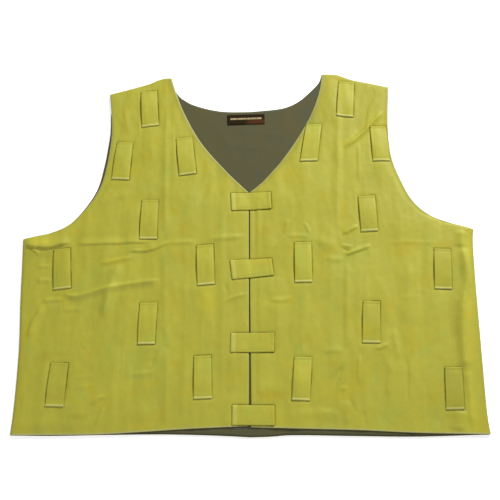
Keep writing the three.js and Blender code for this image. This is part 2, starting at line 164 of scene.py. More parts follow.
def finishPiece(name, bm):
    mesh = bpy.data.meshes.new(name)
    bm.to_mesh(mesh)
    bm.free()
    piece = bpy.data.objects.new(name, mesh)
    bpy.context.scene.collection.objects.link(piece)
    return piece


def dress(piece, slotName, *materials):
    for material in materials:
        piece.data.materials.append(material)
    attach(piece, "root")
    return piece


# Materials
class Wire:  # a socket that can be reckoned with
    def __init__(self, bench, socket):
        self.bench = bench
        self.socket = socket

    def join(self, operation, *others):
        values = dict(enumerate(others))
        return self.bench.node("ShaderNodeMath", {"operation": operation}, values)

    def __add__(self, other):
        return self.join("ADD", self, other)

    def __sub__(self, other):
        return self.join("SUBTRACT", self, other)

    def __rsub__(self, other):
        return self.join("SUBTRACT", other, self)

    def __mul__(self, other):
        return self.join("MULTIPLY", self, other)

    def __pow__(self, other):
        return self.join("POWER", self, other)

    def sine(self):
        return self.join("SINE", self)

    def between(self, low, high):  # 0 below low, 1 above high
        settings = {"interpolation_type": "SMOOTHSTEP"}
        values = {"Value": self, "From Min": low, "From Max": high}
        return self.bench.node("ShaderNodeMapRange", settings, values)

    __radd__ = __add__
    __rmul__ = __mul__


class Bench:  # one material's nodes
    def __init__(self, name):
        self.material = bpy.data.materials.new(name)
        self.material.use_nodes = True
        self.tree = self.material.node_tree
        self.shader = self.tree.nodes["Principled BSDF"]

    def node(self, kind, settings=None, inputs=None, output=0):
        made = self.tree.nodes.new(kind)
        for setting, value in (settings or {}).items():
            setattr(made, setting, value)
        self.feed(made, inputs or {})
        return Wire(self, made.outputs[output])

    def feed(self, made, inputs):
        for key, value in inputs.items():
            if isinstance(value, Wire):
                self.tree.links.new(value.socket, made.inputs[key])
            else:
                made.inputs[key].default_value = value

    def place(self):  # where a point lies on the garment, in metres
        return self.node("ShaderNodeTexCoord", output="Object")

    def flow(self):  # where a point lies on its own strip or panel, in metres
        return self.node("ShaderNodeUVMap", {"uv_map": "flow"})

    def mark(self, name):  # a value that the mesh's points carry
        return self.node("ShaderNodeAttribute", {"attribute_name": name}, output="Fac")

    def stretched(self, vector, x, y, z=1.0):
        return self.node("ShaderNodeVectorMath", {"operation": "MULTIPLY"}, {0: vector, 1: (x, y, z)})

    def cloud(self, vector, scale, detail=2.0, roughness=0.5, distortion=0.0):
        values = {"Vector": vector, "Scale": scale, "Detail": detail, "Roughness": roughness,
                  "Distortion": distortion}
        return self.node("ShaderNodeTexNoise", inputs=values)

    def axis(self, vector, name):
        return self.node("ShaderNodeSeparateXYZ", inputs={"Vector": vector}, output=name)

    def blend(self, factor, a, b):
        settings = {"data_type": "RGBA"}
        return self.node("ShaderNodeMix", settings, {0: factor, 6: a, 7: b}, output=2)

    def shade(self, colour, amount):  # colour times a plain number
        grey = self.node("ShaderNodeCombineXYZ", inputs={0: amount, 1: amount, 2: amount})
        settings = {"data_type": "RGBA", "blend_type": "MULTIPLY"}
        return self.node("ShaderNodeMix", settings, {0: 1.0, 6: colour, 7: grey}, output=2)

    def bump(self, height, distance, strength=1.0, normal=None):
        values = {"Height": height, "Distance": distance, "Strength": strength}
        if normal is not None:
            values["Normal"] = normal
        return self.node("ShaderNodeBump", inputs=values)


shellTones = {
    "base": (0.400, 0.379, 0.033, 1),
    "warm": (0.425, 0.371, 0.024, 1),
    "green": (0.372, 0.388, 0.042, 1),
    "pale": (0.470, 0.458, 0.080, 1),
    "ochre": (0.440, 0.365, 0.018, 1),
    "rubbedHighlight": (0.470, 0.462, 0.175, 1),  # a pale line along an open edge: rubbed, and a painted highlight on its roll
    "rubbedHighlightShare": 0.85,
    "warmShare": 0.9,
    "greenShare": 0.8,
    "paleShare": 0.3,
    "patchScale": 24,
    "grain": 0.09,
    "streak": 0.10,
    "blotch": 0.16,
    "blotchScale": 95,
    "yarn": 0.00045,
    "roughness": 0.58,
    "roughSpread": 0.14,
    "rubHighlightReach": 1.9,  # mm in from an open edge
    "creviceReach": 2.0,  # mm out from a strip's edge that the painted crevice shade reaches
    "creviceShade": (0.215, 0.200, 0.006, 1),  # painted shade: the cloth's colour darkened in a crevice
    "crevicePatches": 45,
}


def shellColour(bench, tones, where, streaks):
    patches = bench.cloud(bench.stretched(where, 1, 1.25), tones["patchScale"], 2.5, 0.55, 0.4)
    greens = bench.cloud(bench.stretched(where, 1.1, 0.8), tones["patchScale"] * 0.8, 2, 0.5, 0.6)
    colour = bench.blend(patches.between(0.50, 0.72) * tones["warmShare"], tones["base"], tones["warm"])
    colour = bench.blend(greens.between(0.50, 0.74) * tones["greenShare"], colour, tones["green"])
    return bench.blend(streaks.between(0.58, 0.85) * tones["paleShare"], colour, tones["pale"])


def shellLevel(bench, tones, where, streaks, grain):  # how light or dark the dye and the rubbing leave it
    blotches = bench.cloud(where, tones["blotchScale"], 2, 0.6)
    level = (grain - 0.5) * tones["grain"] + (streaks - 0.5) * tones["streak"]
    return level + (blotches - 0.5) * tones["blotch"] + 1


def shellRelief(bench, tones, where, crumpleDepth):
    flow = bench.flow()
    across = bench.axis(flow, "X") * (2 * math.pi / tones["yarn"])
    along = bench.axis(flow, "Y") * (2 * math.pi / tones["yarn"] / 1.6)
    weave = across.sine() * along.sine()
    slubs = bench.cloud(bench.stretched(flow, 900, 90), 1, 2, 0.6)
    crumple = bench.cloud(bench.stretched(where, 1.3, 0.6), 70, 3, 0.5, 0.3)
    return bench.bump(crumple, crumpleDepth, 0.5, bench.bump(weave * 0.5 + slubs, 0.00001))


def finishCloth(bench, tones, relief, grain):
    bench.feed(bench.shader, {
        "Normal": relief,
        "Roughness": grain * tones["roughSpread"] + (tones["roughness"] - tones["roughSpread"] / 2),
        "Sheen Weight": 0.15,
        "Sheen Roughness": 0.45,
        "Specular IOR Level": 0.3,
    })
    return bench.material


def makeShellCloth(tones=shellTones):
    bench = Bench("shell_cloth")
    where = bench.place()
    streaks = bench.cloud(bench.stretched(where, 130, 9), 1, 2, 0.6)
    grain = bench.cloud(where, 620, 3, 0.7)
    colour = shellColour(bench, tones, where, streaks)
    ragged = bench.cloud(bench.stretched(where, 1.3, 1), 60, 2, 0.6) * 0.8 + 0.6  # breaks up the ochre
    colour = bench.blend(bench.mark("warmth") * ragged, colour, tones["ochre"])
    # the pale line along open edges: partly rubbing, partly a painted highlight on the edge's roll
    rubbedHighlight = 1 - bench.mark("openEdge").between(tones["rubHighlightReach"] * 0.4, tones["rubHighlightReach"] * 1.6)
    colour = bench.blend(rubbedHighlight * tones["rubbedHighlightShare"], colour, tones["rubbedHighlight"])
    # painted shade along each strip's edge, where the shell dips into a crevice, broken into patches; it
    # also drives a shallow groove
    patchy = bench.cloud(where, tones["crevicePatches"], 1, 0.5).between(0.36, 0.62)
    shadedCrevice = (1 - bench.mark("stripEdge").between(0.2, tones["creviceReach"])) * (patchy * 0.75 + 0.25)
    colour = bench.blend(shadedCrevice, colour, tones["creviceShade"])
    # the tone mark holds uneven dye with painted light and shade of soft folds
    level = shellLevel(bench, tones, where, streaks, grain) * bench.mark("tone")
    bench.feed(bench.shader, {"Base Color": bench.shade(colour, level)})
    relief = bench.bump(1 - shadedCrevice, 0.0004, 1.0, shellRelief(bench, tones, where, 0.0005))
    return finishCloth(bench, tones, relief, grain)


stripTones = dict(
    shellTones,
    wornHighlight=(0.560, 0.555, 0.190, 1),  # the rubbed fold of a strip's end, with a painted highlight on its roll
    edgeShadeShare=0.45,  # how far the turned edge is painted toward the crevice shade: painted shade
    edgeReach=0.6,
    paleTone=1.03,
    # the stitch groove is painted this much darker: painted shade
    grooveTone=0.985,
    grooveReach=0.9,
    wornHighlightEnd=2.9,  # mm of a strip's sewn end that are painted pale: rubbed, and a painted highlight
    wornHighlightShare=0.62,
)


def makeStripCloth(name, stitchInset, tones=stripTones):
    bench = Bench(name)
    where = bench.place()
    streaks = bench.cloud(bench.stretched(where, 130, 9), 1, 2, 0.6)
    grain = bench.cloud(where, 620, 3, 0.7)
    colour = shellColour(bench, tones, where, streaks)
    inset, paleEnd = bench.mark("openEdge"), bench.mark("stripEdge")
    # the pale band at the sewn end: partly rubbed, partly a painted highlight on the end's roll
    wornHighlight = 1 - paleEnd.between(tones["wornHighlightEnd"] * 0.75, tones["wornHighlightEnd"] * 1.25)
    colour = bench.blend(wornHighlight * tones["wornHighlightShare"], colour, tones["wornHighlight"])
    # painted shade on the strip's turned edges
    edge = (1 - inset.between(0.1, tones["edgeReach"] * 1.6)) * (1 - wornHighlight)
    colour = bench.blend(edge * tones["edgeShadeShare"], colour, tones["creviceShade"])
    pale = inset.between(0.6, 1.3) * (1 - inset.between(stitchInset - 1.6, stitchInset - 0.6))
    low, high = stitchInset - tones["grooveReach"], stitchInset + tones["grooveReach"]
    groove = inset.between(low, stitchInset) * (1 - inset.between(stitchInset, high))
    # each strip's tone mark: uneven dye with painted shade of the cloth around it
    level = shellLevel(bench, tones, where, streaks, grain) * bench.mark("tone")
    # painted shade in the stitch groove, and a slightly lighter band between edge and stitching
    level = level * (1 - groove * (1 - tones["grooveTone"])) * (1 + pale * (tones["paleTone"] - 1))
    bench.feed(bench.shader, {"Base Color": bench.shade(colour, level)})
    relief = bench.bump(1 - groove, 0.00008, 1.0, shellRelief(bench, tones, where, 0.0004))
    return finishCloth(bench, tones, relief, grain)


liningTones = {
    "base": (0.088, 0.083, 0.035, 1),
    "grey": (0.079, 0.083, 0.043, 1),
    "brown": (0.099, 0.085, 0.033, 1),
    "paintedSlitLight": (0.105, 0.098, 0.0, 1),  # painted light: the yellow light that the shell throws back under the slit
    "paintedSlitLightHalf": (0.004, 0.006),  # metres from the middle line, between which it fades
    "paintedSlitLightLow": (-0.257, -0.254),  # and at its two ends
    "paintedSlitLightHigh": (0.078, 0.080),
    "yarn": 0.0007,
    "roughness": 0.85,
    "roughSpread": 0.1,
}


def makeLiningCloth():
    bench = Bench("lining_cloth")
    where = bench.place()
    greys = bench.cloud(where, 26, 2, 0.5)
    browns = bench.cloud(bench.stretched(where, 1.2, 0.9), 19, 2, 0.5)
    grain = bench.cloud(where, 700, 3, 0.7)
    colour = bench.blend(greys.between(0.48, 0.7), liningTones["base"], liningTones["grey"])
    colour = bench.blend(browns.between(0.5, 0.72), colour, liningTones["brown"])
    aside, up = bench.axis(where, "X") ** 2, bench.axis(where, "Y")
    near, far = liningTones["paintedSlitLightHalf"]
    # painted light under the slit, fading out to the sides and at both ends
    paintedSlitLight = (1 - aside.between(near ** 2, far ** 2)) * (1 - up.between(*liningTones["paintedSlitLightHigh"]))
    paintedSlitLight = paintedSlitLight * up.between(*liningTones["paintedSlitLightLow"])
    colour = bench.blend(paintedSlitLight, colour, liningTones["paintedSlitLight"])
    bench.feed(bench.shader, {"Base Color": bench.shade(colour, (grain - 0.5) * 0.14 + 1.0)})
    across = bench.axis(where, "X") * (2 * math.pi / liningTones["yarn"])
    along = bench.axis(where, "Y") * (2 * math.pi / liningTones["yarn"])
    weave = across.sine() * along.sine()
    relief = bench.bump(weave, 0.000012)
    relief = bench.bump(bench.cloud(where, 60, 3, 0.55), 0.0006, 0.3, relief)
    spread = liningTones["roughSpread"]
    bench.feed(bench.shader, {
        "Normal": relief,
        "Roughness": grain * spread + (liningTones["roughness"] - spread / 2),
        "Sheen Weight": 0.1,
        "Specular IOR Level": 0.2,
    })
    return bench.material


threadTones = {"dark": (0.50, 0.47, 0.085, 1), "light": (0.62, 0.60, 0.16, 1)}


def makeThread():
    bench = Bench("thread")
    twist = bench.cloud(bench.place(), 1500, 2, 0.6)
    colour = bench.blend(twist.between(0.3, 0.7), threadTones["dark"], threadTones["light"])
    bench.feed(bench.shader, {
        "Base Color": colour,
        "Normal": bench.bump(twist, 0.00005),
        "Roughness": 0.6,
    })
    return bench.material


shellCloth = makeShellCloth()
loopCloth = makeStripCloth("loop_cloth", 4.2)  # mm from the edge to its stitching
tabCloth = makeStripCloth("tab_cloth", 3.4, dict(stripTones, wornHighlightShare=0.2, wornHighlightEnd=1.5))
liningCloth = makeLiningCloth()
threadFinish = makeThread()
print("materials ready")

# Where the loops and tabs are sewn
loopMake = {  # in mm
    "width": 25, "seat": 0.3, "wall": 1.0, "leastWall": 0.12,
    "arch": 1.5, "archRange": (0.7, 1.15),  # some loops stand more open than others
    "archMargin": 0.06, "archPower": 1.2,  # the share of the length that lies flat at each end
    "endRoll": 1.8, "sideRoll": 1.0, "rim": 0.45,  # the share of the thickness left at the edge
    "endSwell": 0.7, "swellFrom": 1,
    "stitchIn": 4.0, "stitchDip": 0.3, "stitchReach": 0.9,
    "edgeStitchIn": 4.2, "seamDip": 0.04, "seamReach": 0.8, "seamFade": 2,
    "endThreadIn": 1.6, "tabThreadIn": 2,
    "sewnBand": 0, "columns": 20, "rows": 40,
}
tabMake = dict(loopMake, width=28, lift=0.4, liftFrom=0.12, liftRun=0.8, seat=0.35, stitchIn=7.0,
               seamDip=0.12, endSwell=0.5, sewnBand=6, rows=44)

loopPlaces = [  # node, x, y, length, lean, end tilt, lower width over upper width, tone: uneven dye with painted shade of the cloth around it
    ("right_loop_1", -152, 214.8, 58.5, -3.7, 8, 1.04, 1.03),
    ("right_loop_2", -189.4, 130, 60, 4.6, -2.6, 1.1, 1.04),
    ("right_loop_3", -95.4, 137.4, 60, -6.4, 8, 1.05, 1.03),
    ("right_loop_4", -147, 38.4, 60.5, 0.8, -0.3, 1.04, 1.02),
    ("right_loop_5", -269.6, -36, 60, -3.6, 5.6, 1.04, 1.02),
    ("right_loop_6", -64, -30, 60, -2.5, 5.6, 1.02, 1.05),
    ("right_loop_7", -144.4, -115.5, 60, 1.7, 0, 0.95, 1.07),
    ("right_loop_8", -266.6, -201.4, 60.5, 3.6, -1.4, 1.03, 0.96),
    ("right_loop_9", -65.5, -191, 60, -1.2, 2.4, 1.06, 1.03),
    ("left_loop_1", 145.2, 230.8, 59, 4.5, -4.5, 1.08, 1.0),
    ("left_loop_2", 91.7, 159.2, 60.5, 8.6, 2.2, 1.12, 1.03),
    ("left_loop_3", 194, 158, 56.6, -3.2, 2, 1.06, 1.01),
    ("left_loop_4", 172.2, 47.3, 55, -2.6, 3.2, 1, 1.0),
    ("left_loop_5", 76.5, -26, 60, -0.3, 1.1, 1.02, 1.08),
    ("left_loop_6", 276.4, -36, 60, 1.8, -0.9, 1.06, 0.97),
    ("left_loop_7", 171, -113.6, 60, 2.4, -0.4, 1.06, 0.98),
    ("left_loop_8", 72, -193, 60.5, 3.9, -2.2, 1, 1.09),
    ("left_loop_9", 282, -206.4, 58.6, 0.9, 1.1, 1.06, 0.87),
]
tabPlaces = [  # node, x, y, length, rise, skew, sewn end's width, free end's width, tone: uneven dye with painted shade of the cloth around it
    ("closing_tab_1", 1.6, 66.6, 58.9, 2.3, 0.6, 27.6, 26, 1.06),
    ("closing_tab_2", 2.7, -35.2, 60.4, 4.4, 3.2, 29, 25.4, 1.07),
    ("closing_tab_3", 3.4, -142.6, 61.6, 0.3, -0.9, 27.6, 27.6, 1.05),
    ("closing_tab_4", 4.6, -243, 58.6, -0.7, 0, 27.4, 27.4, 1.04),
]


def stripPlan(x, y, heading, skew):  # a strip's middle, the way along it and the way across
    run = np.array([math.cos(heading), math.sin(heading)])
    side = np.array([math.sin(heading + skew), -math.cos(heading + skew)])
    return np.array([x, y], float), run, side


def stripSpots():  # every strip's node, making, plan and widths at its two ends
    spots = []
    for node, x, y, length, lean, endTilt, spread, tone in loopPlaces:
        high = 2 * loopMake["width"] / (1 + spread)
        plan = stripPlan(x, y, math.radians(90 - lean), math.radians(endTilt + lean))
        spots.append({"node": node, "make": dict(loopMake, length=length), "plan": plan,
                      "widths": (high * spread, high), "tone": tone})
    for node, x, y, length, rise, skew, sewnWidth, freeWidth, tone in tabPlaces:
        plan = stripPlan(x, y, math.radians(rise), math.radians(skew))
        spots.append({"node": node, "make": dict(tabMake, length=length), "plan": plan,
                      "widths": (sewnWidth, freeWidth), "tone": tone})
    return spots


def stripDistance(x, y, spots):  # how far a point is outside the nearest strip, in mm
    nearest = np.full(x.shape, farMark)
    for spot in spots:
        centre, run, side = spot["plan"]
        offset = np.stack([x - centre[0], y - centre[1]])
        along, across = np.linalg.inv(np.column_stack([run, side])) @ offset
        half = spot["make"]["length"] / 2
        width = mix(*spot["widths"], clamp(along / half / 2 + 0.5))
        beyondEnd, beyondSide = np.abs(along) - half, np.abs(across) - width / 2
        outside = np.hypot(np.maximum(beyondEnd, 0), np.maximum(beyondSide, 0))
        nearest = np.minimum(nearest, outside + np.minimum(np.maximum(beyondEnd, beyondSide), 0))
    return np.maximum(nearest, -farMark)


spots = stripSpots()

# The fronts
frontMake = {  # in mm, apart from shares and gains
    "seamRadius": 4.5,  # the roll round the back's edge, and the height of the fronts
    "wall": 1.0,
    "seamLift": 0.25,
    "puff": 2.2,
    "creaseGain": 1.6,
    "rollEdge": 1.9,  # how far an open edge's soft roll reaches in
    "rollDrop": 0.85,
    "pressDepth": 0.5,  # the cloth sinks a little along a strip's edge
    "pressReach": 2.6,
    "neckShade": 0.2,  # the share of painted shade along the neck's fold
    "neckShadeReach": 8,
    "edgeShade": 0.19,  # and of painted shade along the outer edges, where they turn down
    "edgeShadeReach": 3.6,
    "rollFade": 0.13,  # the share of the armhole over which the side's seam turns into an open edge
    "puffFade": 12,
    "creaseFrom": 3,  # creases begin this far in from the side seam
    "creaseSide": 8,  # and are whole this much further in
    "creaseTop": 9,
    "leastLift": -0.15,
    "vStart": 79,  # just under the V, where the slit's edges end
    "slitSpare": 1.2,  # the slit's edges get this much less of the rubbed pale line and its painted highlight than the neck's
    "slitFade": 3,
    "armholeSpare": 0.6,  # and the armholes' this much less
    "neckShadeFade": 8,
    "centreShare": 21 / 34,  # the middle edge's share of the rows, as in the solid
}
unevenness = [  # height in mm, how fine across and along, and a seed of its own
    (1.2, 0.055, 0.009, 0),
    (1.3, 0.022, 0.024, 9),
    (0.4, 0.12, 0.05, 4),
    (0.12, 0.17, 0.15, 6),
]

slitLine = {  # from the V down to the hem: height up the garment, middle, gap
    "y": [-259, -225, -180, -60, 82],
    "x": [-0.3, 0.2, 0, -0.7, -1],
    "gap": [2.8, 3.4, 2.6, 1.5, 1.4],
}

rightFront = {
    "name": "right_front_cloth",
    "node": "right_front",
    "direction": -1,
    "side": [(-328, -270), (-325.5, -229), (-324.5, -153), (-327.5, -80), (-328.6, -35), (-330, 9.4)],
    "armhole": [(-330, 9.4), (-313, 13.4), (-289, 18.5), (-262, 32.2), (-237.3, 60.2), (-221, 89.2),
                (-212.5, 126), (-208, 172), (-210, 208), (-213.5, 240.5)],
    "shoulder": [(-213.5, 240.5), (-184, 248.9), (-154, 258.2), (-141, 264.4), (-130, 267.4),
                 (-120.5, 267.7)],
    "neck": [(-120.5, 267.7), (-113, 243), (-98, 205), (-72, 158), (-34.6, 113.6), (-3, 82)],
    "hem": [(-328, -270), (-212, -268.8), (-147, -265.4), (-82, -261.3), (-2, -257.8)],
    "patches": [  # x, y, half width, half height, warmth, tone: uneven dye with painted light and shade of soft folds
        (-97, 21, 10, 12, 0.65, 0.96), (-101, -20, 16, 8, 0.2, 0.94), (-101, -172, 14, 6, 0.6, 0.93),
        (-48, -147, 16, 7, 0.4, 0.94), (-156, 135, 12, 8, 0.6, 1.0), (-200, -44, 9, 14, 0.0, 0.94),
        (-274, -56, 14, 6, 0.1, 0.95), (-306, 3, 20, 5, 0.0, 1.06), (-202, 6, 18, 6, 0.0, 1.06),
        (-298, 6, 28, 7, 0.0, 1.16), (-291, -14, 26, 8, 0.0, 0.88), (-168, -34, 22, 14, 0.0, 1.05),
        (-286, -85, 14, 8, 0.0, 1.09), (-262, -262, 50, 9, 0.0, 0.89), (-182, -203, 26, 12, 0.0, 1.05),
        (-213, 70, 10, 20, 0.0, 1.06), (-285, -162, 12, 8, 0.3, 0.9), (-240, -246, 14, 5, 0.2, 0.9),
        (-60, -84, 12, 26, 0.4, 1.12), (-232, 40, 16, 12, 0.3, 1.02), (-196, -64, 14, 12, 0.0, 1.14),
        (-154, -250, 26, 10, 0.2, 0.95), (-150, 190, 16, 14, 0.3, 0.97),
    ],
    "creases": [  # line, width to its left and to its right, rise, taper, sharpness
        # the packing crease under the arm: a lip that hangs over a tuck
        ([(-330, 3.5), (-322, -0.8), (-313, -3.3), (-304, -4.1), (-290, -4.3), (-277, -0.6), (-258, 2.8)],
         22, 2.6, 2.3, 0.16, 0.6),
        ([(-254, 0), (-231, 0.5), (-211, 1), (-190, 2), (-172, 3), (-140, 2.5)], 12, 2.4, 1.3, 0.15, 0.6),
        ([(-177, -9.5), (-158, -10), (-139, -7), (-122, 1), (-114, 6)], 8, 2.6, 1.6, 0.2, 0.6),
        ([(-174, -2), (-152, -2.5), (-134, 0)], 3, 3, 0.6, 0.3, 0.5),
        ([(-118, 2), (-98, 3.5), (-78, 4.5)], 6, 6, 0.9, 0.3, 0.4),
        ([(-62, 8.5), (-40, 10.5), (-18, 12), (-4, 14.5)], 7, 7, 0.9, 0.3, 0.4),
        ([(-315, -5), (-303, -16)], 4, 3, 1.2, 0.3, 0.5),
        ([(-308, -32), (-284, -32)], 4, 5, 0.6, 0.3, 0.4),
        ([(-307, -52), (-283, -52)], 4, 9, 1.1, 0.3, 0.4),
        ([(-266, -73), (-250, -76), (-236, -73.5), (-218, -68), (-191, -62), (-160, -56), (-128, -52)],
         4, 11, 2.3, 0.12, 0.6),
        ([(-217, -30), (-194, -24), (-166, -17)], 4, 8, 1.6, 0.3, 0.5),
        ([(-184, -22), (-192, -41), (-198, -62), (-203, -88), (-210, -112)], 16, 14, 2.3, 0.25, 0.6),
        ([(-293, -87), (-300, -101), (-308, -118), (-312, -140)], 14, 5, 1.5, 0.25, 0.5),
        ([(-299, -83), (-262, -81)], 6, 5, 0.9, 0.3, 0.4),
        ([(-266, -97), (-236, -94)], 6, 6, 0.7, 0.3, 0.4),
        ([(-220, -127), (-231, -134), (-233, -145), (-223, -155)], 4, 5, 0.4, 0.3, 0.5),
        ([(-278, -162), (-253, -163)], 6, 6, -0.3, 0.3, 0.3),
        ([(-218, -230), (-208, -220), (-197, -217)], 4, 5, 1.1, 0.3, 0.5),
        ([(-246, -192), (-212, -188)], 4, 6, 0.35, 0.3, 0.4),
        ([(-245, -206), (-212, -202)], 4, 6, 0.35, 0.3, 0.4),
        ([(-246, -241), (-216, -242)], 7, 9, 0.35, 0.3, 0.4),
        ([(-288, -231), (-244, -230)], 7, 10, 0.6, 0.3, 0.4),
        ([(-198, -229), (-206, -246), (-213, -260)], 4, 5, 1.0, 0.3, 0.5),
        ([(-188, -149), (-189, -175), (-189, -202), (-188, -256)], 8, 10, 0.5, 0.15, 0.5),
        ([(-126, 215), (-126, 163), (-125, 83), (-123, 10)], 9, 8, 0.8, 0.15, 0.5),
        ([(-124, -6), (-121, -82), (-117, -147)], 7, 7, 0.6, 0.15, 0.5),
        ([(-117, -147), (-115, -209), (-114, -263)], 7, 14, 0.8, 0.15, 0.5),
        ([(-170, -187), (-149, -186), (-129, -182)], 5, 9, 0.8, 0.3, 0.5),
        ([(-127, -150), (-133, -162), (-140, -177)], 4, 4, -1.2, 0.3, 0.5),
        ([(-34, 58), (-33, -82), (-32, -223)], 2.6, 2.6, -0.25, 0.05, 0.3),
        ([(-41, 58), (-41, -82), (-38, -223)], 4, 9, 0.2, 0.05, 0.3),
        ([(-41, -88), (-27, -79), (-12, -74), (-2, -72)], 4, 6, 0.8, 0.3, 0.5),
        ([(-36, -55), (-32, -73)], 3, 4, -0.8, 0.3, 0.5),
        ([(-70, -154), (-75, -188)], 7, 8, 0.5, 0.3, 0.4),
        ([(-89, -147), (-94, -250)], 10, 10, 0.7, 0.3, 0.4),
        ([(-56, 115), (-73, 60)], 9, 9, -0.5, 0.3, 0.4),
        ([(-191, 220), (-183, 171)], 9, 9, 0.6, 0.3, 0.4),
        ([(-222, 60), (-194, 74), (-168, 80)], 12, 12, 0.7, 0.3, 0.4),
    ],
}

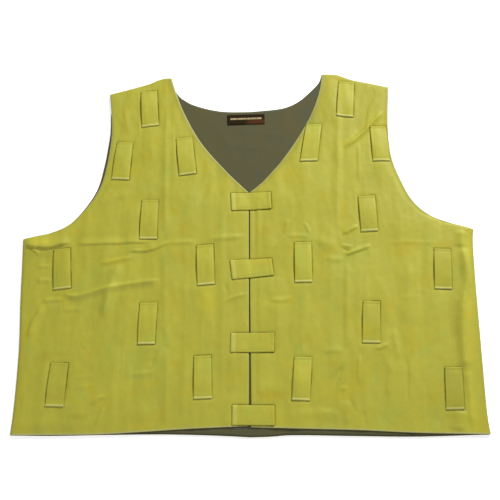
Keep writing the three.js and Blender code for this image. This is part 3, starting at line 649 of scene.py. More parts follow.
leftFront = {
    "name": "left_front_cloth",
    "node": "left_front",
    "direction": 1,
    "side": [(329, -268.6), (326.2, -236), (324.8, -150), (323.6, -60), (324, 4), (326.5, 24.5)],
    "armhole": [(326.5, 24.5), (313, 29), (294, 33.4), (264, 45.3), (240, 66.5), (224, 97.5),
                (212, 132), (208, 166), (208.5, 206), (211.5, 252.7)],
    "shoulder": [(211.5, 252.7), (184, 258.9), (157, 264.8), (143, 270), (132, 273.7), (110.4, 274.6)],
    "neck": [(110.4, 274.6), (106, 246), (94, 210), (73.3, 170), (48, 132), (33.3, 114), (17.4, 96),
             (1, 82)],
    "hem": [(329, -268.6), (229, -266.6), (147, -263), (65, -261), (1, -259.2)],
    "patches": [  # x, y, half width, half height, warmth, tone: uneven dye with painted light and shade of soft folds
        (296, -2, 8, 16, 0.0, 0.90), (303, -38, 7, 18, 0.0, 0.92), (292, -85, 8, 24, 0.0, 0.88),
        (289, -137, 9, 46, 0.1, 0.86), (314, -4, 8, 22, 0.0, 1.14), (316, -46, 7, 25, 0.0, 1.08),
        (312, -85, 8, 28, 0.0, 1.10), (308, -140, 9, 50, 0.0, 1.08), (302, -238, 11, 30, 0.0, 1.12),
        (97, 200, 13, 36, 0.0, 0.86), (118, 205, 12, 45, 0.0, 0.94), (162, 190, 20, 20, 0.0, 0.91),
        (185, 100, 22, 44, 0.0, 0.92), (240, 62, 34, 30, 0.0, 0.92), (272, -215, 22, 44, 0.0, 0.93),
        (31, -85, 24, 8, 0.0, 1.13), (22, -195, 16, 20, 0.0, 1.12), (78, -243, 18, 8, 0.0, 1.09),
        (168, 238, 62, 42, 0.0, 0.93), (188, 228, 18, 22, 0.3, 0.95), (146, 157, 7, 7, 0.0, 1.06),
        (157, 166, 7, 7, 0.0, 1.08), (168, 176, 7, 7, 0.0, 1.08), (179, 188, 7, 7, 0.0, 1.08),
        (191, 201, 7, 7, 0.0, 1.06), (19, 21, 11, 11, 0.7, 0.95), (48, 30, 22, 10, 0.4, 0.95),
        (220, -8, 20, 12, 0.8, 0.97), (254, -52, 5, 10, 0.7, 1.0), (113, -171, 12, 8, 0.7, 0.98),
        (29, -216, 24, 10, 0.8, 0.95), (138, 52, 9, 20, 0.6, 1.0), (280, 2, 18, 5, 0.8, 0.96),
        (108, 74, 8, 8, 0.7, 1.0), (198, -89, 6, 14, 0.7, 1.0), (146, -180, 5, 13, 0.7, 1.0),
        (164, -182, 5, 12, 0.6, 1.0), (79, -137, 10, 8, 0.6, 0.97), (195, -153, 8, 9, 0.4, 0.93),
        (313, -140, 5, 34, 0.5, 1.0), (306, -235, 5, 22, 0.5, 1.0), (130, -240, 12, 14, 0.3, 0.93),
        (95, -247, 34, 8, 0.2, 0.97), (289, -112, 6, 22, 0.3, 0.95), (286, -244, 15, 14, 0.2, 0.93),
        (292, 20, 9, 11, 0.1, 0.94),
    ],
    "creases": [
        # the bright fold beside the shoulder and the hollow that it leaves
        ([(139, 150), (149, 158), (160, 167.5), (171, 177.5), (185, 193.5), (203, 213)],
         6, 8, 2.2, 0.2, 0.6),
        ([(187, 252), (178, 230), (170, 210), (166, 194), (160, 174)], 13, 7, -1.9, 0.2, 0.3),
        ([(134, 235), (132, 179), (129, 83), (126, 25)], 9, 11, 1.0, 0.15, 0.5),
        ([(162, 163), (161, 91)], 5, 5, 0.6, 0.3, 0.4),
        ([(55, 41), (53, 27), (49, 15)], 3.2, 3.2, 0.9, 0.3, 0.5),
        ([(50, 17), (41, 3), (32, -9)], 3.2, 3.2, 0.9, 0.3, 0.5),
        ([(79, 36), (84, 24), (88, 14)], 3, 3, 0.9, 0.3, 0.5),
        ([(52, 12), (68, 13.5), (88, 12)], 6, 4, 0.5, 0.3, 0.4),
        ([(93, 9), (108, 3), (124, -8)], 14, 12, 0.8, 0.3, 0.2),
        ([(104, -19), (121, -22), (136, -21)], 8, 7, 0.45, 0.3, 0.4),
        # the crow's foot: short folds that run together
        ([(134, 15), (144, 21), (158, 29)], 5, 4, 1.6, 0.25, 0.5),
        ([(130, -1.5), (139, -2), (149, -4)], 3.2, 3, 1.0, 0.3, 0.5),
        ([(135, -17), (147, -12), (162, -6.5), (176, -1)], 6, 3, 1.8, 0.22, 0.6),
        ([(133, -7), (146, -10)], 2.4, 2.4, -1.1, 0.3, 0.5),
        ([(133, 26), (133, 7)], 3, 4, -0.4, 0.3, 0.4),
        ([(139, -23), (138, -60), (137, -100), (135, -154)], 12, 7, 1.0, 0.15, 0.5),
        ([(308, 24), (306, 10), (306, -6)], 12, 14, 1.8, 0.25, 0.5),
        # the seam's roll, pushed up beside a hollow
        ([(306, 2), (309, -18), (311, -40), (308, -62), (303, -88)], 10, 12, 2.3, 0.2, 0.5),
        ([(305, -68), (301, -98), (299, -130), (299, -165), (301, -186)], 17, 12, 2.5, 0.15, 0.6),
        ([(302, -172), (303, -216), (304, -263)], 10, 10, 1.6, 0.2, 0.4),
        ([(293, -236), (287, -266)], 7, 24, 1.0, 0.2, 0.3),
        ([(131, -172), (124, -184), (118, -197), (113, -211), (108, -225), (101, -240)],
         7, 5, -1.9, 0.2, 0.5),
        ([(124, -209), (134, -204)], 4, 5, 0.8, 0.3, 0.5),
        ([(136, -219), (141, -230), (147, -242)], 3.6, 3.6, -1.5, 0.3, 0.5),
        ([(156, -236), (156, -258)], 4, 4, -1.1, 0.3, 0.4),
        ([(135, -220), (135, -258)], 5, 15, 0.8, 0.25, 0.4),
        ([(152, -154), (150, -204)], 6, 4.5, 1.2, 0.3, 0.5),
        ([(202, -120), (203, -139), (206, -154), (203, -169)], 9, 7, 0.9, 0.25, 0.5),
        ([(174, -153), (184, -149), (194, -144)], 4, 4, 1.2, 0.3, 0.5),
        ([(195, -162), (191, -225)], 10, 7, 0.8, 0.3, 0.4),
        ([(218, -154), (218, -190), (216, -230)], 5, 6, -0.9, 0.3, 0.4),
        ([(240, -195), (237, -260)], 8, 8, 0.5, 0.3, 0.4),
        ([(194, 2), (231, 4), (282, 2)], 6, 5, 0.3, 0.3, 0.5),
        ([(207, -79), (248, -76)], 5, 6, 0.2, 0.3, 0.4),
        ([(24, -80), (46, -82), (62, -76)], 7, 6, 0.7, 0.3, 0.4),
        ([(4, -210), (28, -208), (55, -210)], 16, 14, 0.5, 0.25, 0.2),
        ([(45, -242), (93, -239), (132, -244)], 9, 12, 0.5, 0.25, 0.3),
        ([(98, -155), (131, -154)], 12, 6, 0.7, 0.3, 0.3),
        ([(7, 68), (7, -82), (6, -229)], 2.6, 2.6, -0.6, 0.05, 0.3),
        ([(12, 68), (13, -82), (12, -223)], 7, 4, 0.4, 0.05, 0.3),
        ([(92, 212), (78, 163), (56, 123)], 8, 9, 0.5, 0.3, 0.3),
        ([(230, -26), (216, -125)], 12, 12, 0.7, 0.3, 0.3),
        ([(252, 14), (241, -82)], 10, 10, -0.5, 0.3, 0.3),
    ],
}

clothFineness = {"columns": 148, "rows": 318, "rollSteps": 5}


def picked(points, flow, marks):  # the values of chosen grid points
    def at(i, j):
        return points[i, j], flow[i, j], {name: values[i, j] for name, values in marks.items()}
    return at


class Panel:  # cloth between four edges: where a share across and a share up lie in plan
    def outer(self, v):  # the side seam, then the armhole
        onSide, onArmhole = self.side.at(clamp(v * 2)), self.armhole.at(clamp(v * 2 - 1))
        return np.where((v * 2 <= 1)[:, None], onSide, onArmhole)

    def plan(self, u, v):
        across, up = u[:, None], v[:, None]
        low, high = np.zeros(1), np.ones(1)
        point = self.outer(v) * (1 - across) + self.inner(v) * across
        point += self.hem.at(u) * (1 - up) + self.top(u) * up
        point -= self.outer(low) * (1 - across) * (1 - up) + self.inner(low) * across * (1 - up)
        return point - self.outer(high) * (1 - across) * up - self.inner(high) * across * up


class FrontShape(Panel):  # one front: where its points lie, and how high
    def __init__(self, front):
        self.front = front
        self.side, self.armhole = Edge(front["side"]), Edge(front["armhole"])
        self.shoulder, self.neck = Edge(front["shoulder"]), Edge(front["neck"])
        self.hem = Edge(front["hem"])
        self.vPoint, self.hemEnd = np.array(front["neck"][-1]), np.array(front["hem"][-1])
        self.rowSpan = 2 * self.armhole.length

    def inner(self, v):  # the middle edge, then the neck
        turn = frontMake["centreShare"]
        y = mix(self.hemEnd[1], self.vPoint[1], clamp(v / turn))
        halfGap = np.interp(y, slitLine["y"], slitLine["gap"]) / 2
        x = np.interp(y, slitLine["y"], slitLine["x"]) + self.front["direction"] * halfGap
        onNeck = self.neck.at(clamp((1 - v) / (1 - turn)))
        return np.where((v <= turn)[:, None], np.stack([x, y], axis=-1), onNeck)

    def top(self, u):
        return self.shoulder.at(u)

    def spread(self, columns, rows, depth):
        # u and v of every grid point: fine at the rolled edges, even between
        radius, roll = frontMake["seamRadius"], frontMake["rollEdge"]
        steps = clothFineness["rollSteps"]
        edgeInsets = roll * (1 - np.cos(np.linspace(0, math.pi / 2, steps)))  # fine towards an edge
        angles = np.linspace(0, math.pi / 2, steps + 1)
        rolledInsets = depth + (radius - depth) * (1 - np.cos(angles))
        v = np.empty(rows + 1)
        v[:steps] = edgeInsets / self.rowSpan
        v[-steps - 1:] = 1 - rolledInsets[::-1] / self.rowSpan
        v[steps - 1:-steps] = np.linspace(v[steps - 1], v[-steps - 1], rows + 2 - 2 * steps)
        topRise = np.ones(rows + 1)
        topRise[-steps - 1:] = np.sin(angles[::-1])
        rolled = 1 - smooth((v * 2 - 1) / frontMake["rollFade"])
        rowLength = np.linalg.norm(self.outer(v) - self.inner(v), axis=1)
        flatInsets = np.linspace(0, radius, steps + 1)
        u = np.empty((columns + 1, rows + 1))
        sideRise = np.ones((columns + 1, rows + 1))
        for index in range(steps + 1):
            u[index] = mix(flatInsets[index], rolledInsets[index], rolled) / rowLength
            sideRise[index] = mix(1, math.sin(angles[index]), rolled)
        u[-steps:] = 1 - edgeInsets[::-1, None] / rowLength
        middle = np.linspace(0, 1, columns + 2 - 2 * steps)[:, None]
        u[steps:columns + 2 - steps] = mix(u[steps], u[columns + 1 - steps], middle)
        return u, v, sideRise, topRise, rolled, rowLength

    def height(self, x, y):  # creases and slight unevenness over the plan
        height = frontMake["creaseGain"] * creaseHeight(x, y, self.front["creases"])
        for rise, across, along, seed in unevenness:
            height += rise * softNoise(x, y, across, along, 3.7 * self.front["direction"] + seed)
        return height

    def points(self, columns, rows, depth):
        u, v, sideRise, topRise, rolled, rowLength = self.spread(columns, rows, depth)
        grid = np.meshgrid(np.arange(columns + 1), np.arange(rows + 1), indexing="ij")
        i, j = grid[0].ravel(), grid[1].ravel()
        uu, vv = u[i, j], v[j]
        place = self.plan(uu, vv)
        x, y = place[:, 0], place[:, 1]
        length = rowLength[j]
        dome = frontMake["puff"] * (1 - (2 * uu - 1) ** 4) * (1 - (2 * vv - 1) ** 4)
        fromSide, fromTop = uu * length, (1 - vv) * self.rowSpan
        radius = frontMake["seamRadius"]
        fadeReach = frontMake["puffFade"]
        fade = smooth((fromSide - radius) / fadeReach) * smooth(fromTop / fadeReach)
        creaseFade = smooth((fromSide - frontMake["creaseFrom"]) / frontMake["creaseSide"])
        creaseFade = creaseFade * smooth(fromTop / frontMake["creaseTop"])
        lift = np.maximum(dome * fade + self.height(x, y) * creaseFade, frontMake["leastLift"])
        stripEdge = stripDistance(x, y, spots)
        press = frontMake["pressDepth"] * np.exp(-(stripEdge / frontMake["pressReach"]) ** 2)
        z = (radius + lift - press - depth) * sideRise[i, j] * topRise[j]
        if depth == 0:  # open edges roll softly down
            reach, drop = frontMake["rollEdge"], frontMake["rollDrop"]
            edges = (((1 - uu) * length, 1), (vv * self.rowSpan, 1), (uu * length, 1 - rolled[j]))
            for distance, share in edges:
                bend = 1 - np.sqrt(1 - clamp(1 - distance / reach) ** 2)
                z -= drop * bend * share * topRise[j]
        z = np.maximum(z, frontMake["seamLift"])
        shape = (columns + 1, rows + 1)
        points = np.stack([x, y, z], axis=-1).reshape(*shape, 3)
        flow = np.stack([self.front["direction"] * -x, y], axis=-1).reshape(*shape, 2)
        slitSpare = frontMake["slitSpare"] * smooth((frontMake["vStart"] - y) / frontMake["slitFade"])
        openEdge = np.minimum((1 - uu) * length + slitSpare, vv * self.rowSpan)
        openEdge = np.minimum(openEdge, uu * length + frontMake["armholeSpare"] + farMark * rolled[j])
        # the patches tint the cloth ochre, and set its tone: uneven dye with painted light and shade of
        # soft folds
        warmth, tone = patchShare(x, y, self.front["patches"])
        # painted shade along the outer edges and along the neck's fold
        outerSide = np.exp(-(np.minimum(fromSide, fromTop) / frontMake["edgeShadeReach"]) ** 2)
        tone = tone * (1 - frontMake["edgeShade"] * outerSide)
        neckSide = np.exp(-((1 - uu) * length / frontMake["neckShadeReach"]) ** 2)
        neckSide = neckSide * smooth((y - frontMake["vStart"]) / frontMake["neckShadeFade"])
        tone = tone * (1 - frontMake["neckShade"] * neckSide)
        marks = {"openEdge": np.minimum(openEdge, farMark), "stripEdge": stripEdge}
        marks.update(tone=tone, warmth=warmth)
        marks = {name: values.reshape(shape) for name, values in marks.items()}
        return points, flow, marks

    def build(self):
        columns, rows = clothFineness["columns"], clothFineness["rows"]
        upper = self.points(columns, rows, 0)
        under = self.points(columns, rows, frontMake["wall"])
        piece = clothWall(self.front["name"], columns, rows, picked(*upper), picked(*under))
        dress(piece, "shell_cloth", shellCloth, liningCloth)
        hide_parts(self.front["node"])
        print("front", self.front["name"], len(piece.data.polygons), "faces")
        return piece


rightShape, leftShape = FrontShape(rightFront), FrontShape(leftFront)
frontPieces = [rightShape.build(), leftShape.build()]


def treeOf(pieces):  # all the pieces' faces, for finding how high the cloth lies
    bm = bmesh.new()
    for piece in pieces:
        bm.from_mesh(piece.data)
    tree = BVHTree.FromBMesh(bm)
    bm.free()
    return tree


frontTree = treeOf(frontPieces)


def clothTop(x, y):  # height of the fronts over a point, in mm
    hit = frontTree.ray_cast(Vector((x * mm, y * mm, castHeight)), Vector((0, 0, -1)))
    if hit[0] is None:  # just past an edge
        hit = frontTree.find_nearest(Vector((x * mm, y * mm, clothHeight)))
    return hit[0].z / mm


# The back and its lining
backShape = {
    "seamInset": 2.2,
    "liningInset": 3.4,
    "liningRim": 0.4,
    "backWall": 0.7,
    "liningLow": 1.35,
    "liningTop": 2.3,
    "insetFade": 16.0,  # an inset fades out over this much cloth
    "shoulderShare": 0.42,  # the share of the columns that meet the shoulder seam
    "neckLow": 75,  # the lining ripples from here up, and this far to each side
    "neckFade": 50,
    "neckHalf": 100,
    "neckSideFade": 40,
    "ripple": 0.25,
    "undersideMost": 0.5,
    "columns": 64,
    "rows": 150,
    "rightRim": {"along": [0, 0.14, 0.22, 0.37, 0.5, 0.56, 0.7, 0.8, 0.88, 0.94, 1],
                 "beyond": [-4, -3, 0.6, 2, 3.2, 3.8, 3.4, 2.2, 1.2, -2.6, -2.6]},
    "leftRim": {"along": [0, 0.5, 1], "beyond": [-4, -3, -2.6]},
    "hem": [(-273, -270.6), (-205, -269.5), (-120, -268.6), (-48, -270.2), (0, -272.5), (27, -271.7),
            (62, -269.6), (150, -270.8), (230, -271.5)],
    "neck": [(-115, 248), (-106.5, 235.5), (-97, 228.5), (-86, 222.5), (-62, 215), (-36, 211), (0, 211),
             (36, 214.5), (56, 218.8), (75, 229), (93, 245.7), (106, 261)],
    "creases": [
        ([(-60, 205), (-36, 164), (-20, 120)], 9, 9, 0.5, 0.3, 0.5),
        ([(-30, 178), (14, 177), (58, 170)], 6, 4, 0.45, 0.3, 0.5),
        ([(-44, 158), (0, 152), (44, 152)], 5, 5, 0.4, 0.3, 0.5),
        ([(66, 222), (34, 168), (10, 110)], 8, 10, 0.5, 0.3, 0.5),
        ([(-8, 190), (-4, 143), (-2, 96)], 6, 6, 0.35, 0.3, 0.5),
        ([(-120, -270), (-60, -262)], 6, 6, 0.3, 0.3, 0.5),
    ],
    "undersideCreases": [
        ([(-300, -12), (-210, 2), (-120, 6)], 9, 5, 0.5, 0.3, 0.5),
        ([(-240, -70), (-164, -67), (-90, -52)], 8, 6, 0.45, 0.3, 0.5),
        ([(120, 20), (172, 9), (220, -12)], 7, 6, 0.5, 0.3, 0.5),
        ([(60, 190), (121, 148), (190, 120)], 10, 8, 0.45, 0.3, 0.5),
        ([(0, 190), (3, -260)], 6, 6, 0.3, 0.1, 0.5),
        ([(230, -90), (212, -167), (180, -240)], 9, 10, 0.5, 0.3, 0.5),
        ([(-180, 210), (-160, 151), (-150, 90)], 9, 8, 0.45, 0.3, 0.5),
        ([(-140, -130), (-160, -189), (-170, -250)], 10, 8, 0.5, 0.3, 0.5),
    ],
}


class BackHalf(Panel):  # one half of the back, from the side seam to the middle line
    def __init__(self, shape, seamInset, openInset, rim):
        direction = shape.front["direction"]
        self.direction = direction
        hem, neck = [[point for point in backShape[edge][::-direction] if point[0] * direction > 0]
                     for edge in ("hem", "neck")]
        middleLow, middleHigh = [next(point for point in backShape[edge] if point[0] == 0)
                                 for edge in ("hem", "neck")]
        self.hem = Edge([shape.front["side"][0]] + hem + [middleLow])
        self.neck = Edge([shape.front["neck"][0]] + neck + [middleHigh])
        self.side, self.armhole, self.shoulder = shape.side, shape.armhole, shape.shoulder
        self.low, self.high = np.array(middleLow, float), np.array(middleHigh, float)
        self.rim = rim
        self.seamInset, self.openInset = seamInset, openInset

    def top(self, u):  # shoulder seam, then the back neckline
        turn = backShape["shoulderShare"]
        onShoulder = self.shoulder.at(clamp(u / turn))
        onNeck = self.neck.at(clamp((u - turn) / (1 - turn)))
        return np.where((u <= turn)[:, None], onShoulder, onNeck)

    def inner(self, v):  # the middle line
        return self.low + (self.high - self.low) * v[:, None]

    def points(self, columns, rows):
        u, v = np.linspace(0, 1, columns + 1), np.linspace(0, 1, rows + 1)
        grid = np.meshgrid(np.arange(columns + 1), np.arange(rows + 1), indexing="ij")
        i, j = grid[0].ravel(), grid[1].ravel()
        place = self.plan(u[i], v[j]).reshape(columns + 1, rows + 1, 2)
        along = clamp(v * 2 - 1)
        beyond = np.interp(along, self.rim["along"], self.rim["beyond"])
        inset = np.where(v <= 0.5, self.seamInset, self.openInset - beyond)
        run = np.gradient(place[0], axis=0)
        inward = np.stack([-run[:, 1], run[:, 0]], axis=-1) * self.direction
        sideMove = inward / np.linalg.norm(run, axis=1)[:, None] * inset[:, None]
        topInset = np.where(u <= backShape["shoulderShare"], self.seamInset, self.openInset)
        topMove = np.stack([np.zeros_like(u), -topInset], axis=-1)
        hemMove = np.stack([np.zeros_like(u), np.full_like(u, max(self.openInset, 0.0))], axis=-1)
        fromSide = np.linalg.norm(place - place[:1], axis=2)
        fromTop = np.linalg.norm(place - place[:, -1:], axis=2)
        fromHem = np.linalg.norm(place - place[:, :1], axis=2)
        fade = lambda distance: (1 - smooth(distance / backShape["insetFade"]))[..., None]
        place = place + fade(fromSide) * sideMove[None] + fade(fromTop) * topMove[:, None]
        return place + fade(fromHem) * hemMove[:, None]


def buildBack(name, node, seamInset, openInset, upperZ, underZ, materials, slotName):
    columns, rows = backShape["columns"], backShape["rows"]
    halves = [BackHalf(rightShape, seamInset, openInset, backShape["rightRim"]),
              BackHalf(leftShape, seamInset, openInset, backShape["leftRim"])]
    right, left = [half.points(columns, rows) for half in halves]
    whole = np.concatenate([right, left[::-1][1:]], axis=0)
    flatX, flatY = whole[..., 0].ravel(), whole[..., 1].ravel()

    def placed(zAt):
        z = zAt(flatX, flatY).reshape(whole.shape[:2])
        points = np.concatenate([whole, z[..., None]], axis=2)
        marks = {"openEdge": farMark, "stripEdge": farMark, "tone": 1.0, "warmth": 0.0}
        marks = {name: np.full(z.shape, value) for name, value in marks.items()}
        return picked(points, whole, marks)

    piece = clothWall(name, 2 * columns, rows, placed(upperZ), placed(underZ))
    dress(piece, slotName, *materials)
    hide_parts(node)
    print("back layer", name, len(piece.data.polygons), "faces")
    return piece


def liningUpper(x, y):
    inNeck = smooth((y - backShape["neckLow"]) / backShape["neckFade"])
    inNeck = inNeck * smooth((backShape["neckHalf"] - np.abs(x)) / backShape["neckSideFade"])
    ripple = backShape["ripple"] * (1 + softNoise(x, y, 0.04, 0.03, 21.5))
    return backShape["liningTop"] + inNeck * (creaseHeight(x, y, backShape["creases"]) + ripple)


def liningUnder(x, y):
    return np.full_like(x, backShape["liningLow"])


def backUpper(x, y):
    return backUnder(x, y) + backShape["backWall"]


def backUnder(x, y):
    return np.clip(creaseHeight(x, y, backShape["undersideCreases"]), 0, backShape["undersideMost"])


backPiece = buildBack("back_cloth", "back", backShape["seamInset"], 0, backUpper, backUnder,
                      (liningCloth, shellCloth), "shell_cloth")
liningPiece = buildBack("back_lining_cloth", "back_lining", backShape["liningInset"],
                        backShape["liningRim"], liningUpper, liningUnder,
                        (liningCloth, liningCloth), "lining_cloth")

# Loops and tabs
def settled(heights, passes=3):  # a strip bridges the small creases under it
    soft = heights.copy()
    for _ in range(passes):
        framed = np.pad(soft, 1, mode="edge")
        soft = (framed[:-2, 1:-1] + framed[2:, 1:-1] + framed[1:-1, :-2] + framed[1:-1, 2:]
                + 2 * framed[1:-1, 1:-1]) / 6
    return np.maximum(soft, heights)


def fineEnds(count, steps, reach):  # shares from 0 to 1, close together at both ends
    roll = (1 - np.cos(np.linspace(0, math.pi / 2, steps))) * reach
    share = np.empty(count + 1)
    share[:steps] = roll
    share[-steps:] = 1 - roll[::-1]
    share[steps - 1:count + 2 - steps] = np.linspace(reach, 1 - reach, count + 3 - 2 * steps)
    return share


def rounded(distance, reach):  # a quarter round that ends at reach
    return np.sqrt(1 - clamp(1 - distance / reach) ** 2)


def buildStrip(spot):
    make = spot["make"]
    columns, rows = make["columns"], make["rows"]
    centre, run, side = spot["plan"]
    share = fineEnds(rows, 5, make["endRoll"] / make["length"])
    offset = fineEnds(columns, 3, make["sideRoll"] / make["width"])
    width = mix(*spot["widths"], share)
    across = (offset[:, None] - 0.5) * width[None]
    along = np.broadcast_to((share - 0.5)[None] * make["length"], across.shape)
    place = centre + along[..., None] * run + across[..., None] * side
    seat = settled(np.vectorize(clothTop)(place[..., 0], place[..., 1])) + make["seat"]
    nearEnd = (np.minimum(share, 1 - share) * make["length"])[None]
    fromEdge = np.minimum(offset, 1 - offset)[:, None] * width[None]
    if "lift" in make:  # a tab's free end stands up
        lift = make["lift"] * smooth((share - make["liftFrom"]) / make["liftRun"])
    else:
        variety = noise.noise(Vector((centre[0] * 0.031, centre[1] * 0.047, 2.2))) + 0.5
        arch = make["arch"] * mix(*make["archRange"], variety)
        raised = clamp((share - make["archMargin"]) / (1 - 2 * make["archMargin"]))
        lift = arch * np.sin(math.pi * raised) ** make["archPower"]
    swellFrom = make["swellFrom"]
    swell = make["endSwell"] * (1 - smooth((nearEnd - swellFrom) / (make["stitchIn"] - swellFrom)))
    body = (make["wall"] + swell) * rounded(nearEnd, make["endRoll"])
    body = body * mix(make["rim"], 1, rounded(fromEdge, make["sideRoll"]))
    dip = make["stitchDip"] * np.exp(-((nearEnd - make["stitchIn"]) / make["stitchReach"]) ** 2)
    seamDip = make["seamDip"] * np.exp(-((fromEdge - make["edgeStitchIn"]) / make["seamReach"]) ** 2)
    insideEnds = smooth((nearEnd - make["stitchIn"]) / make["seamFade"])
    under = seat + lift[None]
    upper = under + np.maximum(body - dip - seamDip * insideEnds, make["leastWall"])
    flow = np.stack([across, along], axis=-1)
    inset = np.minimum(nearEnd, fromEdge)
    fromPaleEnd = np.broadcast_to(share[None] * make["length"], inset.shape) - make["sewnBand"]
    marks = {"openEdge": inset, "stripEdge": fromPaleEnd, "tone": np.full(inset.shape, spot["tone"])}
    sides = [picked(np.concatenate([place, z[..., None]], axis=2), flow, marks) for z in (upper, under)]
    piece = clothWall(spot["node"] + "_cloth", columns, rows, *sides, underIndex=0)
    dress(piece, "loop_cloth", tabCloth if "lift" in make else loopCloth)
    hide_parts(spot["node"])
    return piece


stripPieces = [buildStrip(spot) for spot in spots]
print("strips", len(stripPieces))

# The neck label
labelMake = {
    "x": -6, "y": 198, "width": 56, "height": 16, "turn": 1.9,
    "low": 3.05, "thick": 0.9, "rim": 0.55, "wave": 0.12,
    "columns": 56, "rows": 16,
}
labelTones = {  # the ranges are metres from the label's middle, between which a colour fades in or out
    "dark": (0.019, 0.0095, 0.0012, 1),
    "rust": (0.068, 0.024, 0.0055, 1),
    "tan": (0.50, 0.41, 0.21, 1),
    "rustLeft": (-0.004, 0.008),
    "rustTop": (-0.003, 0.0015),
    "stripeBottom": (-0.0009, 0.0005),
    "stripeTop": (0.0015, 0.0031),
    "stripeLeft": (-0.0245, -0.0225),
    "stripeRight": (0.0225, 0.0245),
    "breaks": (0.34, 0.56),
    "yarns": (0.0005, 0.0004),
}


def makeLabelCloth():
    bench = Bench("label_cloth")
    flow = bench.flow()
    across, up = bench.axis(flow, "X"), bench.axis(flow, "Y")
    rust = across.between(*labelTones["rustLeft"]) * (1 - up.between(*labelTones["rustTop"]))
    colour = bench.blend(rust, labelTones["dark"], labelTones["rust"])
    band = up.between(*labelTones["stripeBottom"]) * (1 - up.between(*labelTones["stripeTop"]))
    ends = across.between(*labelTones["stripeLeft"]) * (1 - across.between(*labelTones["stripeRight"]))
    breaks = bench.cloud(bench.stretched(flow, 420, 60), 1, 2, 0.6).between(*labelTones["breaks"])
    colour = bench.blend(band * ends * (breaks * 0.6 + 0.3), colour, labelTones["tan"])
    weft, warp = labelTones["yarns"]
    yarns = (across * (2 * math.pi / weft)).sine() * (up * (2 * math.pi / warp)).sine()
    mottle = bench.cloud(bench.place(), 900, 2, 0.6)
    bench.feed(bench.shader, {
        "Base Color": bench.shade(colour, mottle * 0.5 + 0.75),
        "Normal": bench.bump(yarns, 0.00002),
        "Roughness": 0.8,
        "Specular IOR Level": 0.12,
    })
    return bench.material


def buildLabel():
    columns, rows = labelMake["columns"], labelMake["rows"]
    turn = math.radians(labelMake["turn"])
    spin = np.array([[math.cos(turn), math.sin(turn)], [-math.sin(turn), math.cos(turn)]])

    def layer(thick):
        def at(i, j):
            aside, up = (i / columns - 0.5) * labelMake["width"], (j / rows - 0.5) * labelMake["height"]
            flow = np.stack([aside, up], axis=-1)
            place = flow @ spin + np.array([labelMake["x"], labelMake["y"]])
            edge = np.minimum(np.minimum(i, columns - i), np.minimum(j, rows - j))
            wave = labelMake["wave"] * softNoise(place[:, 0], place[:, 1], 0.06, 0.1, 5.5)
            z = labelMake["low"] + wave + thick * np.where(edge == 0, labelMake["rim"], 1.0)
            return np.column_stack([place, z]), flow, {}
        return at

    piece = clothWall("neck_label_woven", columns, rows, layer(labelMake["thick"]), layer(0.0),
                      underIndex=0)
    dress(piece, "label_cloth", makeLabelCloth())
    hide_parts("neck_label")
    return piece


buildLabel()
print("label ready")

# Stitching
stitchMake = {"length": 2.3, "pitch": 3.1, "thick": 0.42, "around": 6, "along": 4}
edgeMake = {"runs": [(7.0, -254, 76), (-33.0, -254, 60)], "piece": 31}  # x, lower and upper end


def stitchRun(bm, line, heightAt, make=stitchMake):
    # small oval stitches end to end along a line given in mm
    line = np.array(line, float)
    steps = np.linalg.norm(np.diff(line, axis=0), axis=1)
    reach = np.concatenate([[0], np.cumsum(steps)])
    count = max(1, int(reach[-1] / make["pitch"]))
    at = lambda distance: np.array([np.interp(distance, reach, line[:, axis]) for axis in (0, 1)])
    for index in range(count):
        middle = (index + 0.5) / count * reach[-1]
        a, b = at(middle - make["length"] / 2), at(middle + make["length"] / 2)
        za, zb = heightAt(*a), heightAt(*b)
        low, high = Vector((*a, za)) * mm, Vector((*b, zb)) * mm
        direction = (high - low).normalized()
        half, thin = make["length"] / 2 * mm, make["thick"] / 2 * mm
        shape = Matrix.Diagonal((half, thin, thin, 1))
        turn = direction.to_track_quat("X", "Z").to_matrix().to_4x4()
        matrix = Matrix.Translation((low + high) / 2) @ turn @ shape
        bmesh.ops.create_uvsphere(bm, u_segments=make["around"], v_segments=make["along"], radius=1,
                                  matrix=matrix)


def buildStitching(name, bm):
    for face in bm.faces:
        face.smooth = True
    bmesh.ops.recalc_face_normals(bm, faces=bm.faces)
    piece = finishPiece(name, bm)
    dress(piece, "loop_cloth", threadFinish)
    print("stitching", name, len(piece.data.polygons), "faces")
    return piece


stripTree = treeOf(stripPieces)


def stripTop(x, y):
    hit = stripTree.ray_cast(Vector((x * mm, y * mm, castHeight)), Vector((0, 0, -1)))
    return hit[0].z / mm if hit[0] is not None else clothTop(x, y)


def joined(parts):  # several small meshes in one
    whole = bmesh.new()
    for part in parts:
        mesh = bpy.data.meshes.new("part")
        part.to_mesh(mesh)
        part.free()
        whole.from_mesh(mesh)
        bpy.data.meshes.remove(mesh)
    return whole


def stripStitching():
    parts = []
    for spot in spots:
        bm = bmesh.new()
        parts.append(bm)
        make = spot["make"]
        half = make["length"] / 2

        def at(along, side, inset=make["edgeStitchIn"]):
            centre, run, across = spot["plan"]
            width = mix(*spot["widths"], along / make["length"] + 0.5)
            return centre + run * along + across * side * (width / 2 - inset)

        inner = half - make["stitchIn"]
        for end in (-1, 1):
            sides = [at(end * inner, side, make["endThreadIn"]) for side in (-1, 1)]
            stitchRun(bm, sides, stripTop)
        if "lift" in make:  # a tab is also sewn along its lower edge
            inner -= make["tabThreadIn"]
            stitchRun(bm, [at(-inner, 1), at(inner, 1)], stripTop)
    return buildStitching("strip_stitching", joined(parts))


def edgeStitching():
    parts = []
    for x, low, high in edgeMake["runs"]:
        for start in np.arange(low, high, edgeMake["piece"]):
            bm = bmesh.new()
            parts.append(bm)
            stitchRun(bm, [(x, start), (x, min(start + edgeMake["piece"], high))], clothTop)
    return buildStitching("edge_stitching", joined(parts))


stripStitching()
edgeStitching()

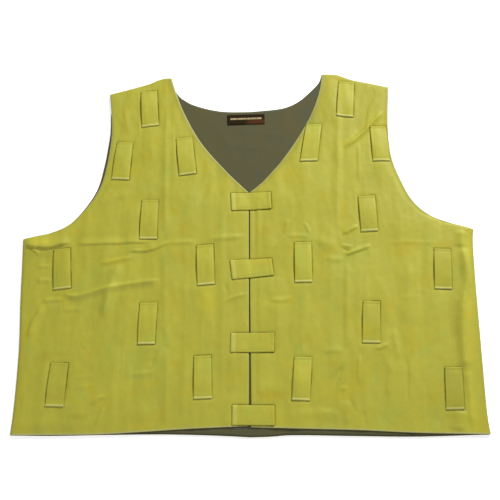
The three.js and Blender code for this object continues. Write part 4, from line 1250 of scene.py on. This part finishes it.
# Floor, light and camera
stage = {
    "floorSize": 12.0,
    "floorDrop": 0.0003,
    "floorTone": (0.93, 0.93, 0.92, 1),
    "floorGlow": 0.45,
    "floorSpeckle": 0.01,
    "sky": (1.0, 1.0, 1.0, 1),
    "skyStrength": 0.25,
}
lamps = [  # degrees round from the hem's side, degrees up, and distance and size in metres
    {"name": "shoulder_softbox", "round": 148, "up": 34, "far": 2.3, "size": 0.6, "watts": 60},
    {"name": "hem_softbox", "round": -25, "up": 50, "far": 3.0, "size": 1.2, "watts": 27},
]
viewpoint = {
    "distance": 1.25, "tilt": 16.0, "target": (0.0, -0.00633, 0.0),
    "lens": 62.06, "sensor": 36, "nearest": 0.01,
}


def buildStage():
    bm = bmesh.new()
    bmesh.ops.create_grid(bm, x_segments=1, y_segments=1, size=stage["floorSize"] / 2)
    bmesh.ops.translate(bm, verts=bm.verts, vec=(0, 0, -stage["floorDrop"]))
    floor = finishPiece("pale_floor", bm)
    bench = Bench("pale_floor")
    speckle = bench.cloud(bench.place(), 40, 2, 0.5) * stage["floorSpeckle"]
    speckle = speckle + (1 - stage["floorSpeckle"] / 2)
    bench.feed(bench.shader, {
        "Base Color": bench.shade(stage["floorTone"], speckle),
        "Roughness": 0.9,
        "Emission Color": (1, 1, 1, 1),
        "Emission Strength": stage["floorGlow"],
    })
    floor.data.materials.append(bench.material)
    world = bpy.data.worlds.new("soft_sky")
    world.use_nodes = True
    sky = world.node_tree.nodes["Background"]
    sky.inputs["Color"].default_value = stage["sky"]
    sky.inputs["Strength"].default_value = stage["skyStrength"]
    bpy.context.scene.world = world
    for row in lamps:
        light = bpy.data.lights.new(row["name"], "AREA")
        light.shape = "DISK"
        light.size = row["size"]
        light.energy = row["watts"]
        lamp = bpy.data.objects.new(row["name"], light)
        bpy.context.scene.collection.objects.link(lamp)
        turn, up = math.radians(row["round"]), math.radians(row["up"])
        spot = Vector((math.sin(turn) * math.cos(up), -math.cos(turn) * math.cos(up), math.sin(up)))
        lamp.location = spot * row["far"]
        lamp.rotation_euler = (-spot).to_track_quat("-Z", "Y").to_euler()


def buildCamera():
    tilt = math.radians(viewpoint["tilt"])
    forward = Vector((0, math.sin(tilt), -math.cos(tilt)))
    camera = bpy.data.objects.new("camera", bpy.data.cameras.new("camera"))
    camera.location = Vector(viewpoint["target"]) - forward * viewpoint["distance"]
    camera.rotation_euler = Euler((tilt, 0, 0))
    camera.data.lens = viewpoint["lens"]
    camera.data.sensor_width = viewpoint["sensor"]
    camera.data.clip_start = viewpoint["nearest"]
    bpy.context.scene.collection.objects.link(camera)
    bpy.context.scene.camera = camera


buildStage()
buildCamera()
bpy.context.scene.view_settings.view_transform = "Standard"
print("stage ready")
